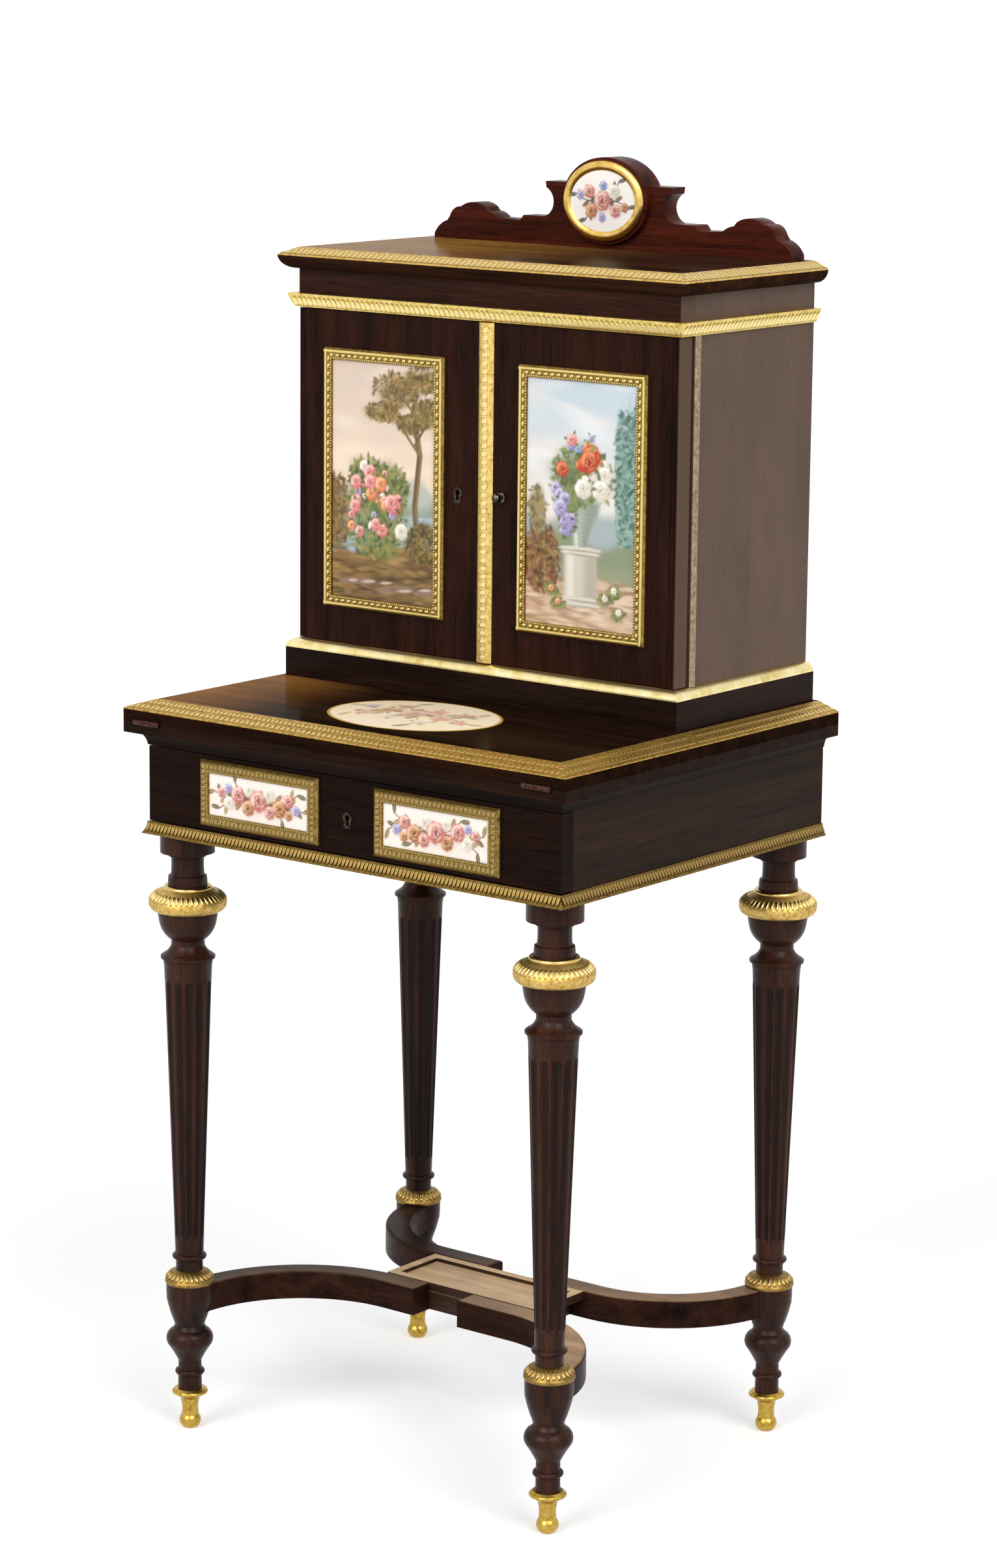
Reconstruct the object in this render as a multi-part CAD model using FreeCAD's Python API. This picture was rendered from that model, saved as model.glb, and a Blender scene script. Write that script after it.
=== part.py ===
import FreeCAD, Part
import math
import os

os.makedirs("parts", exist_ok=True)
Vector = FreeCAD.Vector

# Clearances and the overrun of cutting tools
running_fit = 0.05
slide_gap = 0.3
board_gap = 0.5
door_gap = 1.0
meeting_gap = 1.5
overrun = 3.0

# Writing top: fixed lower leaf, folding flap and the fixed rear part
top_width = 538.0
top_depth = 440.0
leaf_thick = 11.5
flap_thick = 20.5
edge_width = 24.0
edge_drop = 9.0
edge_land = 1.0
leather_thick = 0.6
leather_sink = 0.2
leather_side_margin = 38.0
leather_front_margin = 32.0
leather_rear_margin = 22.0
flap_oval_long = 91.0
flap_oval_short = 72.0
flap_oval_thick = 4.0
flap_oval_rise = 2.0
flap_oval_from_front = 117.0

# Butt hinges of the flap
hinge_length = 33.0
hinge_from_end = 31.5
knuckle_r = 3.0
knuckle_clear = 0.4
knuckle_gap = 0.3
hinge_axis_out = 0.3
hinge_pin_r = 1.5
plate_thick = 1.6
plate_depth = 24.0
screw_head_r = 2.6
screw_r = 1.3
screw_head = 1.4
screw_length = 8.0
screw_pitch = 10.0
screw_from_axis = 14.0

# Legs, measured section by section from the floor up
toe_height = 42.0
foot_height = 110.0
collar_height = 14.0
base_height = 29.0
taper_height = 282.0
neck_height = 56.0
bulb_height = 24.5
head_height = 53.5
bulb_r = 38.5
bulb_core_r = 19.0
taper_low_r = 14.4
taper_high_r = 23.6
collar_r = 24.6
collar_core_r = 13.4
toe_r = 18.0
spigot_r = 5.5
spigot_length = 14.0
tenon_r = 10.0
tenon_length = 10.0
flute_count = 12
flute_low_margin = 8.0
flute_high_margin = 18.0
flute_radius_share = 0.25
flute_reach_share = 1.13
leg_from_end = 43.0
leg_from_front = 44.0
leg_from_back = 34.0

# Turned outlines: shares of the bulb radius (toe or collar radius for those) and of the section's height.
# Rows of two are straight runs, rows of four are arcs through a middle point.
toe_shares = [
    (0.0, 0.0), (0.30, 0.0), (0.585, 0.14, 0.48, 0.33), (0.45, 0.52, 0.54, 0.75),
    (0.76, 0.83), (0.98, 0.88), (1.0, 0.92, 0.96, 0.95), (0.80, 1.0)]
foot_shares = [
    (0.31, 0.0), (0.305, 0.13), (0.385, 0.157, 0.305, 0.184), (0.30, 0.265),
    (0.40, 0.33, 0.555, 0.415), (0.60, 0.50, 0.44, 0.565), (0.385, 0.60), (0.405, 0.63),
    (0.52, 0.745, 0.595, 0.85), (0.605, 0.92), (0.605, 1.0)]
base_shares = [
    (0.348, 0.0), (0.348, 0.37), (0.40, 0.39), (0.445, 0.475, 0.40, 0.56), (0.365, 0.58)]
neck_shares = [
    (0.63, 0.08), (0.63, 0.13), (0.70, 0.15), (0.70, 0.19), (0.655, 0.215),
    (0.50, 0.30, 0.43, 0.385), (0.43, 0.48), (0.62, 0.61, 0.73, 0.79), (0.77, 0.95), (0.77, 1.0)]
head_shares = [
    (0.50, 0.0), (0.505, 0.10, 0.49, 0.20), (0.43, 0.22), (0.415, 0.38, 0.42, 0.54),
    (0.485, 0.57), (0.485, 0.61), (0.70, 0.64), (0.70, 1.0)]
bulb_shares = [
    (0.78, 0.0), (0.935, 0.091, 1.0, 0.33), (0.951, 0.583, 0.82, 0.75), (0.70, 0.87, 0.53, 1.0)]
collar_shares = [(0.95, 0.0), (1.0, 0.14, 0.975, 0.30), (0.86, 0.66, 0.57, 1.0)]

# Stretcher
arm_width = 26.0
arm_height = 28.0
arm_inset = 7.5
arm_end_x = 28.0
front_gap_x = -12.5
arm_round = 3.0
stretcher_set_back = 9.0
block_half_width = 78.0
block_depth = 77.0
tablet_half_width = 95.0
tablet_thick = 9.0
tablet_rim = 10.0
tablet_sink = 4.0

# Frieze and drawer
frieze_height = 101.0
frieze_inset = 17.0
frieze_front_inset = 18.0
frieze_thick = 18.0
frieze_bottom_thick = 12.0
rail_height = 13.0
under_lip = 1.0
under_reach = 7.5
band_reach = 6.0
band_lip = 1.5
drawer_front_thick = 18.0
drawer_side_thick = 10.0
drawer_side_gap = 1.0
drawer_rear_gap = 12.0
drawer_top_drop = 8.0
drawer_bottom_thick = 5.0
drawer_bottom_lift = 4.0
groove_depth = 4.0
runner_width = 16.0
runner_thick = 4.0
plaque_thick = 3.0
plaque_rebate = 2.5
frame_thick = 5.0
frame_chamfer = 2.5
drawer_frame_width = 149.0
drawer_frame_height = 65.0
drawer_frame_member = 12.0
drawer_frame_x = 108.5
drawer_frame_rise = 38.5

# Locks and keyhole plates
lock_width = 50.0
lock_height = 36.0
lock_thick = 10.0
lock_top_drop = 8.0
bolt_width = 18.0
bolt_thick = 4.0
bolt_length = 28.0
bolt_travel = 6.0
bolt_sink = 2.0
bolt_inset = 3.0
key_r = 2.6
key_slot = 1.3
key_tail = 7.0
key_rim = 3.0
key_plate_thick = 1.4
key_plate_sink = 0.6
drawer_key_rise = 37.0
door_key_x = 29.8
door_key_rise = 163.0
door_lock_from_edge = 8.0

# Plinth, cabinet and doors
cabinet_inset = 37.5
plinth_height = 29.0
plinth_thick = 18.0
plinth_from_front = 208.0
cabinet_from_back = 4.0
ledge = 9.5
bead_height = 8.5
bead_land = 1.5
floor_thick = 9.0
side_thick = 16.0
back_thick = 10.0
opening_height = 330.5
shelf_rise = 158.0
shelf_thick = 10.0
shelf_set_back = 4.0
dado_depth = 4.0
cornice_height = 37.5
cornice_band_height = 13.5
cornice_reach = 8.5
cornice_lip = 2.5
top_thick = 21.0
top_overhang = 15.5
top_ovolo_height = 13.0
fillet_width = 9.5
fillet_thick = 2.0
door_thick = 22.0
door_rear_round = 6.0
door_front_round = 2.0
meeting_x = -5.0
reed_r = 1.1
reed_pitch = 4.0
pivot_inset = 8.0
pivot_r = 3.0
pivot_length = 12.0
pivot_plate_length = 26.0
pivot_plate_width = 11.0
pivot_plate_thick = 2.0
strip_width = 18.0
strip_thick = 4.0
strip_land = 1.2
door_frame_member = 11.0
door_frame_side_margin = 35.0
door_frame_middle_margin = 45.5
door_frame_foot_margin = 37.0
door_frame_head_margin = 37.5
knob_x = 22.9
knob_rise = 163.0
knob_r = 4.5
knob_reach = 11.5
knob_rose_r = 5.2
knob_rose_thick = 2.0
knob_neck_r = 2.2
knob_spindle_r = 2.0
knob_spindle_length = 12.0

# Crest: shares of its half width and of the height of its flat top
crest_inset = 12.5
crest_rise = 63.0
crest_thick = 22.0
crest_from_back = 0.5
crest_shares = [
    (1.0, 0.0), (1.0, 0.07), (0.965, 0.22, 0.925, 0.29), (0.91, 0.36), (0.885, 0.48, 0.845, 0.52),
    (0.775, 0.60, 0.705, 0.53), (0.69, 0.47), (0.665, 0.45, 0.63, 0.375), (0.50, 0.36), (0.48, 0.445),
    (0.36, 0.445), (0.308, 0.68, 0.35, 0.90), (0.354, 1.0), (0.20, 1.0)]
drum_half_width = 51.5
drum_half_height = 42.5
drum_rise = 47.0
drum_reach = 6.0
ring_half_width = 48.3
ring_half_height = 39.2
ring_member = 9.5
ring_thick = 5.0
oval_rebate = 2.0
oval_thick = 3.0

# Heights and lines that follow from the sizes above
z_foot = toe_height
z_collar = z_foot + foot_height
z_base = z_collar + collar_height
z_taper = z_base + base_height
z_neck = z_taper + taper_height
z_bulb = z_neck + neck_height
z_head = z_bulb + bulb_height
z_frieze = z_head + head_height
z_drawer = z_frieze + frieze_bottom_thick
z_leaf = z_frieze + frieze_height
z_rail = z_leaf - rail_height
z_flap = z_leaf + leaf_thick
z_table = z_flap + flap_thick
z_plinth_top = z_table + plinth_height
z_floor = z_plinth_top + floor_thick
z_cornice = z_floor + opening_height
z_band_top = z_cornice + cornice_band_height
z_top = z_cornice + cornice_height
z_crest = z_top + top_thick
half_top = top_width / 2
half_frieze = half_top - frieze_inset
half_cabinet = half_top - cabinet_inset
half_plinth = half_cabinet + ledge
inner_cabinet = half_cabinet - side_thick
inner_frieze = half_frieze - frieze_thick
front_reach = knuckle_r + hinge_axis_out
rear_reach = bulb_r - leg_from_back
y_front = (front_reach - rear_reach - top_depth) / 2
y_back = y_front + top_depth
y_axis = y_front - hinge_axis_out
y_frieze = y_front + frieze_front_inset
y_carcass = y_frieze + drawer_front_thick
y_plinth = y_front + plinth_from_front
y_door = y_plinth + ledge
y_door_back = y_door + door_thick
y_cabinet = y_door_back + door_gap
y_cabinet_back = y_back - cabinet_from_back
y_flap_back = y_plinth - door_gap
y_rear_top = y_flap_back + board_gap
y_inner_back = y_cabinet_back - back_thick
leg_x = half_top - leg_from_end
leg_front_y = y_front + leg_from_front
leg_rear_y = y_back - leg_from_back
z_arm = z_collar - arm_height
y_middle = (leg_front_y + leg_rear_y) / 2 + stretcher_set_back
y_arm_front = y_middle - (block_depth + arm_width) / 2
y_arm_rear = y_middle + (block_depth + arm_width) / 2
x_door_left = meeting_x - meeting_gap / 2
x_door_right = meeting_x + meeting_gap / 2
z_door = z_floor + door_gap
z_door_top = z_cornice - door_gap
x_pivot = half_cabinet - pivot_inset
y_pivot = (y_door + y_door_back) / 2
z_front = z_drawer + door_gap
z_front_top = z_rail - door_gap
drawer_length = y_back - frieze_thick - drawer_rear_gap - y_carcass
door_frame_width = half_cabinet - door_frame_side_margin - door_frame_middle_margin
door_frame_height = opening_height - door_frame_foot_margin - door_frame_head_margin
door_frame_x = door_frame_middle_margin + door_frame_width / 2
door_frame_z = z_floor + door_frame_foot_margin + door_frame_height / 2
crest_half_width = half_cabinet - crest_inset


def box(x0, x1, y0, y1, z0, z1):
    return Part.makeBox(x1 - x0, y1 - y0, z1 - z0, Vector(x0, y0, z0))


def mirrored(shape):
    return shape.mirror(Vector(0, 0, 0), Vector(1, 0, 0))


def both(shape):
    return [shape, mirrored(shape)]


def edges_of(path, place):
    start = place(path[0][0], path[0][1])
    edges = []
    for row in path[1:]:
        end = place(row[-2], row[-1])
        if len(row) == 2:
            edges.append(Part.makeLine(start, end))
        else:
            edges.append(Part.Arc(start, place(row[0], row[1]), end).toShape())
        start = end
    return edges


def face_of(path, place):
    edges = edges_of(path, place)
    first = place(path[0][0], path[0][1])
    last = place(path[-1][-2], path[-1][-1])
    return Part.Face(Part.Wire(edges + [Part.makeLine(last, first)]))


def scaled(shares, reach, base, height):
    rows = []
    for row in shares:
        values = []
        for i in range(0, len(row), 2):
            values.append(row[i] * reach)
            values.append(base + row[i + 1] * height)
        rows.append(tuple(values))
    return rows


def turned(path):
    face = face_of(path, lambda r, z: Vector(r, 0, z))
    return face.revolve(Vector(0, 0, 0), Vector(0, 0, 1), 360)


def at_legs(shape):
    spots = [(-leg_x, leg_front_y), (leg_x, leg_front_y), (-leg_x, leg_rear_y), (leg_x, leg_rear_y)]
    return [shape.translated(Vector(x, y, 0)) for x, y in spots]


def prism(points, z0, z1):
    corners = [Vector(x, y, z0) for x, y in points]
    return Part.Face(Part.makePolygon(corners + corners[:1])).extrude(Vector(0, 0, z1 - z0))


# Straight mouldings on the front and both sides, mitred at the corners.
# The path is a section: distance out from the board's faces, and height.
def three_sided(path, half, front, rear):
    outs = [row[-2] for row in path]
    ups = [row[-1] for row in path]
    far = max(outs) + overrun
    near = min(outs) - overrun
    low = min(ups) - overrun
    high = max(ups) + overrun
    bar = face_of(path, lambda u, z: Vector(-half - far, front - u, z))
    bar = bar.extrude(Vector(2 * (half + far), 0, 0))
    side = face_of(path, lambda u, z: Vector(half + u, front - far, z))
    side = side.extrude(Vector(0, rear - front + far, 0))
    outer = (half + far, front - far)
    inner = (half + near, front - near)
    trapezium = [(-outer[0], outer[1]), outer, inner, (-inner[0], inner[1])]
    flank = [inner, outer, (outer[0], rear + overrun), (inner[0], rear + overrun)]
    side = side.common(prism(flank, low, high))
    return [bar.common(prism(trapezium, low, high))] + both(side)


# A board whose front and side edges all carry the same section
def edged_board(path, half, front, rear):
    low = path[0][-1]
    high = path[-1][-1]
    reach = max(row[-2] for row in path)
    right = edges_of(path, lambda u, z: Vector(half + u, front - reach, z))
    left = edges_of(path, lambda u, z: Vector(-half - u, front - reach, z))
    foot = half + path[0][-2]
    head = half + path[-1][-2]
    y = front - reach
    caps = [Part.makeLine(Vector(-foot, y, low), Vector(foot, y, low)),
            Part.makeLine(Vector(-head, y, high), Vector(head, y, high))]
    along = Part.Face(Part.Wire(Part.sortEdges(right + left + caps)[0]))
    along = along.extrude(Vector(0, rear - y, 0))
    x = -half - reach
    nose = edges_of(path, lambda u, z: Vector(x, front - u, z))
    caps = [Part.makeLine(Vector(x, front - path[0][-2], low), Vector(x, rear, low)),
            Part.makeLine(Vector(x, rear, low), Vector(x, rear, high)),
            Part.makeLine(Vector(x, front - path[-1][-2], high), Vector(x, rear, high))]
    across = Part.Face(Part.Wire(Part.sortEdges(nose + caps)[0]))
    return along.common(across.extrude(Vector(-2 * x, 0, 0)))


def oval(half_width, half_height, centre, normal, depth):
    curve = Part.Ellipse(Vector(0, 0, 0), half_width, half_height)
    face = Part.Face(Part.Wire(curve.toShape()))
    solid = face.extrude(Vector(0, 0, depth))
    if normal == "y":
        solid.rotate(Vector(0, 0, 0), Vector(1, 0, 0), 90)
    solid.translate(centre)
    return solid


# Legs with their brass
def flute(turn):
    low = z_taper + flute_low_margin
    high = z_neck - flute_high_margin
    slope = (taper_high_r - taper_low_r) / taper_height
    low_r = taper_low_r + slope * (low - z_taper)
    high_r = taper_low_r + slope * (high - z_taper)
    start = Vector(flute_reach_share * low_r, 0, low)
    end = Vector(flute_reach_share * high_r, 0, high)
    run = end - start
    cutter = Part.makeCone(flute_radius_share * low_r, flute_radius_share * high_r, run.Length, start, run)
    cutter = cutter.fuse(Part.makeSphere(flute_radius_share * low_r, start))
    cutter = cutter.fuse(Part.makeSphere(flute_radius_share * high_r, end))
    cutter.rotate(Vector(0, 0, 0), Vector(0, 0, 1), turn)
    return cutter


def leg():
    path = [(0, z_foot - spigot_length), (spigot_r, z_foot - spigot_length), (spigot_r, z_foot)]
    path += scaled(foot_shares, bulb_r, z_foot, foot_height)
    path += [(collar_core_r, z_collar), (collar_core_r, z_base)]
    path += scaled(base_shares, bulb_r, z_base, base_height)
    path += [(taper_low_r, z_taper), (taper_high_r, z_neck)]
    path += scaled(neck_shares, bulb_r, z_neck, neck_height)
    path += [(bulb_core_r, z_bulb), (bulb_core_r, z_head)]
    path += scaled(head_shares, bulb_r, z_head, head_height)
    path += [(tenon_r, z_frieze), (tenon_r, z_frieze + tenon_length), (0, z_frieze + tenon_length)]
    return turned(path).cut([flute((i + 1 / 2) * 360 / flute_count) for i in range(flute_count)])


def bulb_ring():
    path = [(bulb_core_r, z_bulb)] + scaled(bulb_shares, bulb_r, z_bulb, bulb_height)
    return turned(path + [(bulb_core_r, z_head)])


def collar():
    path = [(collar_core_r, z_collar)] + scaled(collar_shares, collar_r, z_collar, collar_height)
    return turned(path + [(collar_core_r, z_base)])


def toe():
    path = scaled(toe_shares, toe_r, 0, toe_height)
    path += [(spigot_r, z_foot), (spigot_r, z_foot - spigot_length), (0, z_foot - spigot_length)]
    return turned(path)


# Stretcher: an arm leaves its leg in a quarter turn and runs on along the centre block
def arm(leg_solid, leg_y, run_y, end_x):
    way = 1 if run_y > leg_y else -1
    bend = abs(run_y - leg_y)
    middle_x = leg_x - arm_inset - bend
    slant = math.sqrt(2) / 2
    outer = bend + arm_width / 2
    inner = bend - arm_width / 2

    def at(reach, share_x, share_y):
        return middle_x + reach * share_x, leg_y + way * reach * share_y

    path = [at(outer, 1, 0), at(outer, slant, slant) + at(outer, 0, 1)]
    path += [(end_x, leg_y + way * outer), (end_x, leg_y + way * inner), at(inner, 0, 1)]
    path += [at(inner, slant, slant) + at(inner, 1, 0)]
    solid = face_of(path, lambda x, y: Vector(x, y, z_arm)).extrude(Vector(0, 0, arm_height))
    rims = [e for e in solid.Edges if min(v.Z for v in e.Vertexes) > z_collar - arm_round]
    return solid.makeFillet(arm_round, rims).cut(leg_solid)


# The two front arms do not meet in the middle: the gap between their ends lies a little to the left
def stretcher(front_leg, rear_leg):
    arms = both(arm(rear_leg, leg_rear_y, y_arm_rear, arm_end_x))
    arms += [arm(front_leg, leg_front_y, y_arm_front, arm_end_x + front_gap_x)]
    arms += [mirrored(arm(front_leg, leg_front_y, y_arm_front, arm_end_x - front_gap_x))]
    y0 = y_arm_front + arm_width / 2
    y1 = y_arm_rear - arm_width / 2
    z_tablet = z_collar - tablet_thick
    block = box(-block_half_width, block_half_width, y0, y1, z_arm, z_tablet)
    tablet = box(-tablet_half_width, tablet_half_width, y0, y1, z_tablet, z_collar)
    well_x = tablet_half_width - tablet_rim
    well = box(-well_x, well_x, y0 + tablet_rim, y1 - tablet_rim, z_collar - tablet_sink, z_collar + overrun)
    return Part.makeCompound(arms), block, tablet.cut(well)


# Frieze around the drawer
def keyhole(x, z, rim, y0, y1):
    round_part = Part.makeCylinder(key_r + rim, y1 - y0, Vector(x, y0, z), Vector(0, 1, 0))
    slot = box(x - key_slot - rim, x + key_slot + rim, y0, y1, z - key_tail - rim, z)
    return round_part.fuse(slot).removeSplitter()


def drawer_bolt(grow, lift):
    top = z_front_top - bolt_sink + lift
    y0 = y_carcass - bolt_inset - bolt_thick
    return box(-bolt_width / 2 - grow, bolt_width / 2 + grow, y0 - grow, y0 + bolt_thick + grow,
               z_front_top - bolt_sink - bolt_length - grow, top + grow)


def frieze(legs):
    bottom = box(-half_frieze, half_frieze, y_frieze, y_back, z_frieze, z_drawer).cut(legs)
    side = box(inner_frieze, half_frieze, y_carcass, y_back, z_drawer, z_leaf)
    back = box(-inner_frieze, inner_frieze, y_back - frieze_thick, y_back, z_drawer, z_leaf)
    rail = box(-half_frieze, half_frieze, y_frieze, y_carcass, z_rail, z_leaf)
    rail = rail.cut(drawer_bolt(slide_gap, bolt_travel))
    boards = Part.makeCompound(both(side) + [back, rail])
    runner = box(inner_frieze - runner_width, inner_frieze, y_carcass, y_back - frieze_thick,
                 z_drawer, z_drawer + runner_thick)
    sag = under_lip + (under_reach - under_lip) / 4
    middle = (z_rail + z_leaf) / 2
    path = [(0, z_rail), (under_lip, z_rail), (sag, middle, under_reach, z_leaf), (0, z_leaf)]
    moulding = three_sided(path, half_frieze, y_frieze, y_back)
    sag = band_lip + (band_reach - band_lip) / 4
    middle = (z_frieze + z_drawer) / 2
    path = [(0, z_frieze), (band_reach, z_frieze), (sag, middle, band_lip, z_drawer), (0, z_drawer)]
    band = three_sided(path, half_frieze, y_frieze, y_back)
    runners = Part.makeCompound(both(runner))
    return bottom, boards, runners, Part.makeCompound(moulding), Part.makeCompound(band)


# A brass frame with a chamfered face, and the plaque that lies in its rebate
def framed_plaque(x, z, width, height, member, y):
    frame = box(x - width / 2, x + width / 2, y - frame_thick, y, z - height / 2, z + height / 2)
    rims = [e for e in frame.Edges if max(v.Y for v in e.Vertexes) < y - frame_thick / 2]
    frame = frame.makeChamfer(frame_chamfer, rims)
    sight_x = width / 2 - member
    sight_z = height / 2 - member
    frame = frame.cut(box(x - sight_x, x + sight_x, y - frame_thick - overrun, y + overrun,
                          z - sight_z, z + sight_z))
    plaque_x = sight_x + plaque_rebate
    plaque_z = sight_z + plaque_rebate
    plaque = box(x - plaque_x, x + plaque_x, y - plaque_thick, y, z - plaque_z, z + plaque_z)
    return frame.cut(plaque), plaque


def drawer():
    outer = inner_frieze - drawer_side_gap
    z_side = z_drawer + runner_thick + slide_gap
    z_side_top = z_front_top - drawer_top_drop
    y_end = y_carcass + drawer_length
    inner = outer - drawer_side_thick
    z_bottom = z_side + drawer_bottom_lift
    bottom = box(-inner - groove_depth, inner + groove_depth, y_carcass - groove_depth,
                 y_end - drawer_side_thick + groove_depth, z_bottom, z_bottom + drawer_bottom_thick)
    side = box(inner, outer, y_carcass, y_end, z_side, z_side_top)
    back = box(-inner, inner, y_end - drawer_side_thick, y_end, z_side, z_side_top)
    walls = Part.makeCompound([s.cut(bottom) for s in both(side) + [back]])
    front = box(-half_frieze, half_frieze, y_frieze, y_carcass, z_front, z_front_top).cut(bottom)
    key_z = z_front + drawer_key_rise - door_gap
    lock = box(-lock_width / 2, lock_width / 2, y_carcass - lock_thick, y_carcass,
               z_front_top - lock_top_drop - lock_height, z_front_top - lock_top_drop)
    front = front.cut([lock, drawer_bolt(slide_gap, bolt_travel)])
    hole = keyhole(0, key_z, 0, y_frieze - overrun, y_carcass - bolt_inset - bolt_thick)
    lock = lock.cut([drawer_bolt(slide_gap, bolt_travel), hole])
    plate = keyhole(0, key_z, key_rim, y_frieze - key_plate_thick + key_plate_sink,
                    y_frieze + key_plate_sink)
    front = front.cut([hole, plate])
    framed = framed_plaque(drawer_frame_x, z_drawer + drawer_frame_rise, drawer_frame_width,
                           drawer_frame_height, drawer_frame_member, y_frieze)
    return {
        "drawer_front": front, "drawer_box": walls, "drawer_bottom": bottom,
        "drawer_plaque_frames": Part.makeCompound(both(framed[0])),
        "drawer_plaques": Part.makeCompound(both(framed[1])),
        "drawer_escutcheon": plate.cut(hole), "drawer_lock": lock, "drawer_lock_bolt": drawer_bolt(0, 0)}


# Writing top with its hinges
def screw(x, way):
    y = y_axis + screw_from_axis
    down = Vector(0, 0, -way)
    head = Part.makeCone(screw_head_r, screw_r, screw_head, Vector(x, y, z_flap), down)
    shank = Part.makeCylinder(screw_r, screw_length, Vector(x, y, z_flap), down)
    return head.fuse(shank).removeSplitter()


def knuckle(x0, x1, radius):
    return Part.makeCylinder(radius, x1 - x0, Vector(x0, y_axis, z_flap), Vector(1, 0, 0))


def hinge():
    x1 = half_top - hinge_from_end + hinge_length / 2
    x0 = x1 - hinge_length
    cut0 = x0 + hinge_length / 3
    cut1 = x1 - hinge_length / 3
    half_gap = knuckle_gap / 2
    y_clear = y_axis + knuckle_r + knuckle_clear
    y_end = y_axis + plate_depth
    z_low = z_flap - plate_thick
    z_high = z_flap + plate_thick
    lower = box(x0, x1, y_clear, y_end, z_low, z_flap)
    for a, b in [(x0, cut0 - half_gap), (cut1 + half_gap, x1)]:
        lower = lower.fuse([box(a, b, y_axis, y_end, z_low, z_flap), knuckle(a, b, knuckle_r)])
    lower = lower.fuse(knuckle(x0, x1, hinge_pin_r)).removeSplitter()
    upper = box(x0, x1, y_clear, y_end, z_flap, z_high)
    upper = upper.fuse(box(cut0 + half_gap, cut1 - half_gap, y_axis, y_end, z_flap, z_high))
    upper = upper.fuse(knuckle(cut0 + half_gap, cut1 - half_gap, knuckle_r)).removeSplitter()
    upper = upper.cut(knuckle(x0, x1, hinge_pin_r + running_fit))
    middle = (x0 + x1) / 2
    places = [middle - screw_pitch, middle, middle + screw_pitch]
    notch = knuckle(x0 - knuckle_clear, x1 + knuckle_clear, knuckle_r + knuckle_clear)
    low_screws = [screw(x, 1) for x in places]
    high_screws = [screw(x, -1) for x in places]
    return lower.cut(low_screws), upper.cut(high_screws), low_screws, high_screws, notch


def writing_top():
    lower, upper, low_screws, high_screws, notch = hinge()
    x = half_top - leather_side_margin
    y0 = y_front + leather_front_margin
    y1 = y_flap_back - leather_rear_margin
    depth = leather_thick + leather_sink
    leaf = box(-half_top, half_top, y_front, y_back, z_leaf, z_flap)
    leaf = leaf.cut(box(-x, x, y0, y1, z_flap - depth, z_flap + overrun))
    leaf_leather = box(-x, x, y0, y1, z_flap - depth, z_flap - leather_sink)
    z_edge = z_table - edge_drop
    path = [(0, z_flap), (0, z_edge), (-edge_width, z_edge), (-edge_width, z_table)]
    flap = edged_board(path, half_top, y_front, y_flap_back)
    flap = flap.cut(box(-x, x, y0, y1, z_flap - overrun, z_flap + depth))
    flap_leather = box(-x, x, y0, y1, z_flap + leather_sink, z_flap + depth)
    path = [(-edge_width, z_edge), (0, z_edge), (0, z_edge + edge_land), (-edge_width, z_table)]
    flap_edge = three_sided(path, half_top, y_front, y_flap_back)
    y_oval = y_front + flap_oval_from_front
    z_seat = z_table - flap_oval_thick
    seat = oval(flap_oval_long, flap_oval_short, Vector(0, y_oval, z_seat), "z", flap_oval_thick + overrun)
    dome_r = flap_oval_long ** 2 / (2 * flap_oval_rise)
    dome = Part.makeSphere(dome_r, Vector(0, y_oval, z_table + flap_oval_rise - dome_r))
    flap_plaque = seat.common(dome)
    flap = flap.cut(seat)
    leaf = leaf.cut(both(lower) + both(notch) + both(Part.makeCompound(low_screws)))
    flap = flap.cut(both(upper) + both(notch) + both(Part.makeCompound(high_screws)))
    rear = box(-half_top, half_top, y_rear_top, y_back, z_flap, z_table)
    rebate = box(half_top - edge_width, half_top + overrun, y_rear_top - overrun, y_back + overrun,
                 z_edge, z_table + overrun)
    rear = rear.cut(both(rebate))
    strip = face_of(path, lambda u, z: Vector(half_top + u, y_rear_top, z))
    strip = strip.extrude(Vector(0, y_back - y_rear_top, 0))
    return {
        "lower_leaf": leaf, "leaf_leather": leaf_leather, "rear_top": rear,
        "rear_top_brass": Part.makeCompound(both(strip)),
        "leaf_hinge_plates": Part.makeCompound(both(lower)),
        "leaf_hinge_screws": Part.makeCompound(low_screws + [mirrored(s) for s in low_screws]),
        "flap_board": flap, "flap_brass_edge": Part.makeCompound(flap_edge), "flap_plaque": flap_plaque,
        "flap_leather": flap_leather, "flap_hinge_plates": Part.makeCompound(both(upper)),
        "flap_hinge_screws": Part.makeCompound(high_screws + [mirrored(s) for s in high_screws])}


# Cabinet case
def pivots():
    x0 = x_pivot - pivot_plate_length / 2
    y0 = y_pivot - pivot_plate_width / 2
    span = (x0 - pivot_inset, x0 + pivot_plate_length - pivot_inset, y0, y0 + pivot_plate_width)
    low = box(*span, z_floor - pivot_plate_thick, z_floor)
    low_pin = Part.makeCylinder(pivot_r, pivot_length + door_gap, Vector(x_pivot, y_pivot, z_floor))
    high = box(*span, z_cornice, z_cornice + pivot_plate_thick)
    z_pin = z_door_top - pivot_length
    high_pin = Part.makeCylinder(pivot_r, z_cornice - z_pin, Vector(x_pivot, y_pivot, z_pin))
    return low.fuse(low_pin), high.fuse(high_pin)


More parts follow.
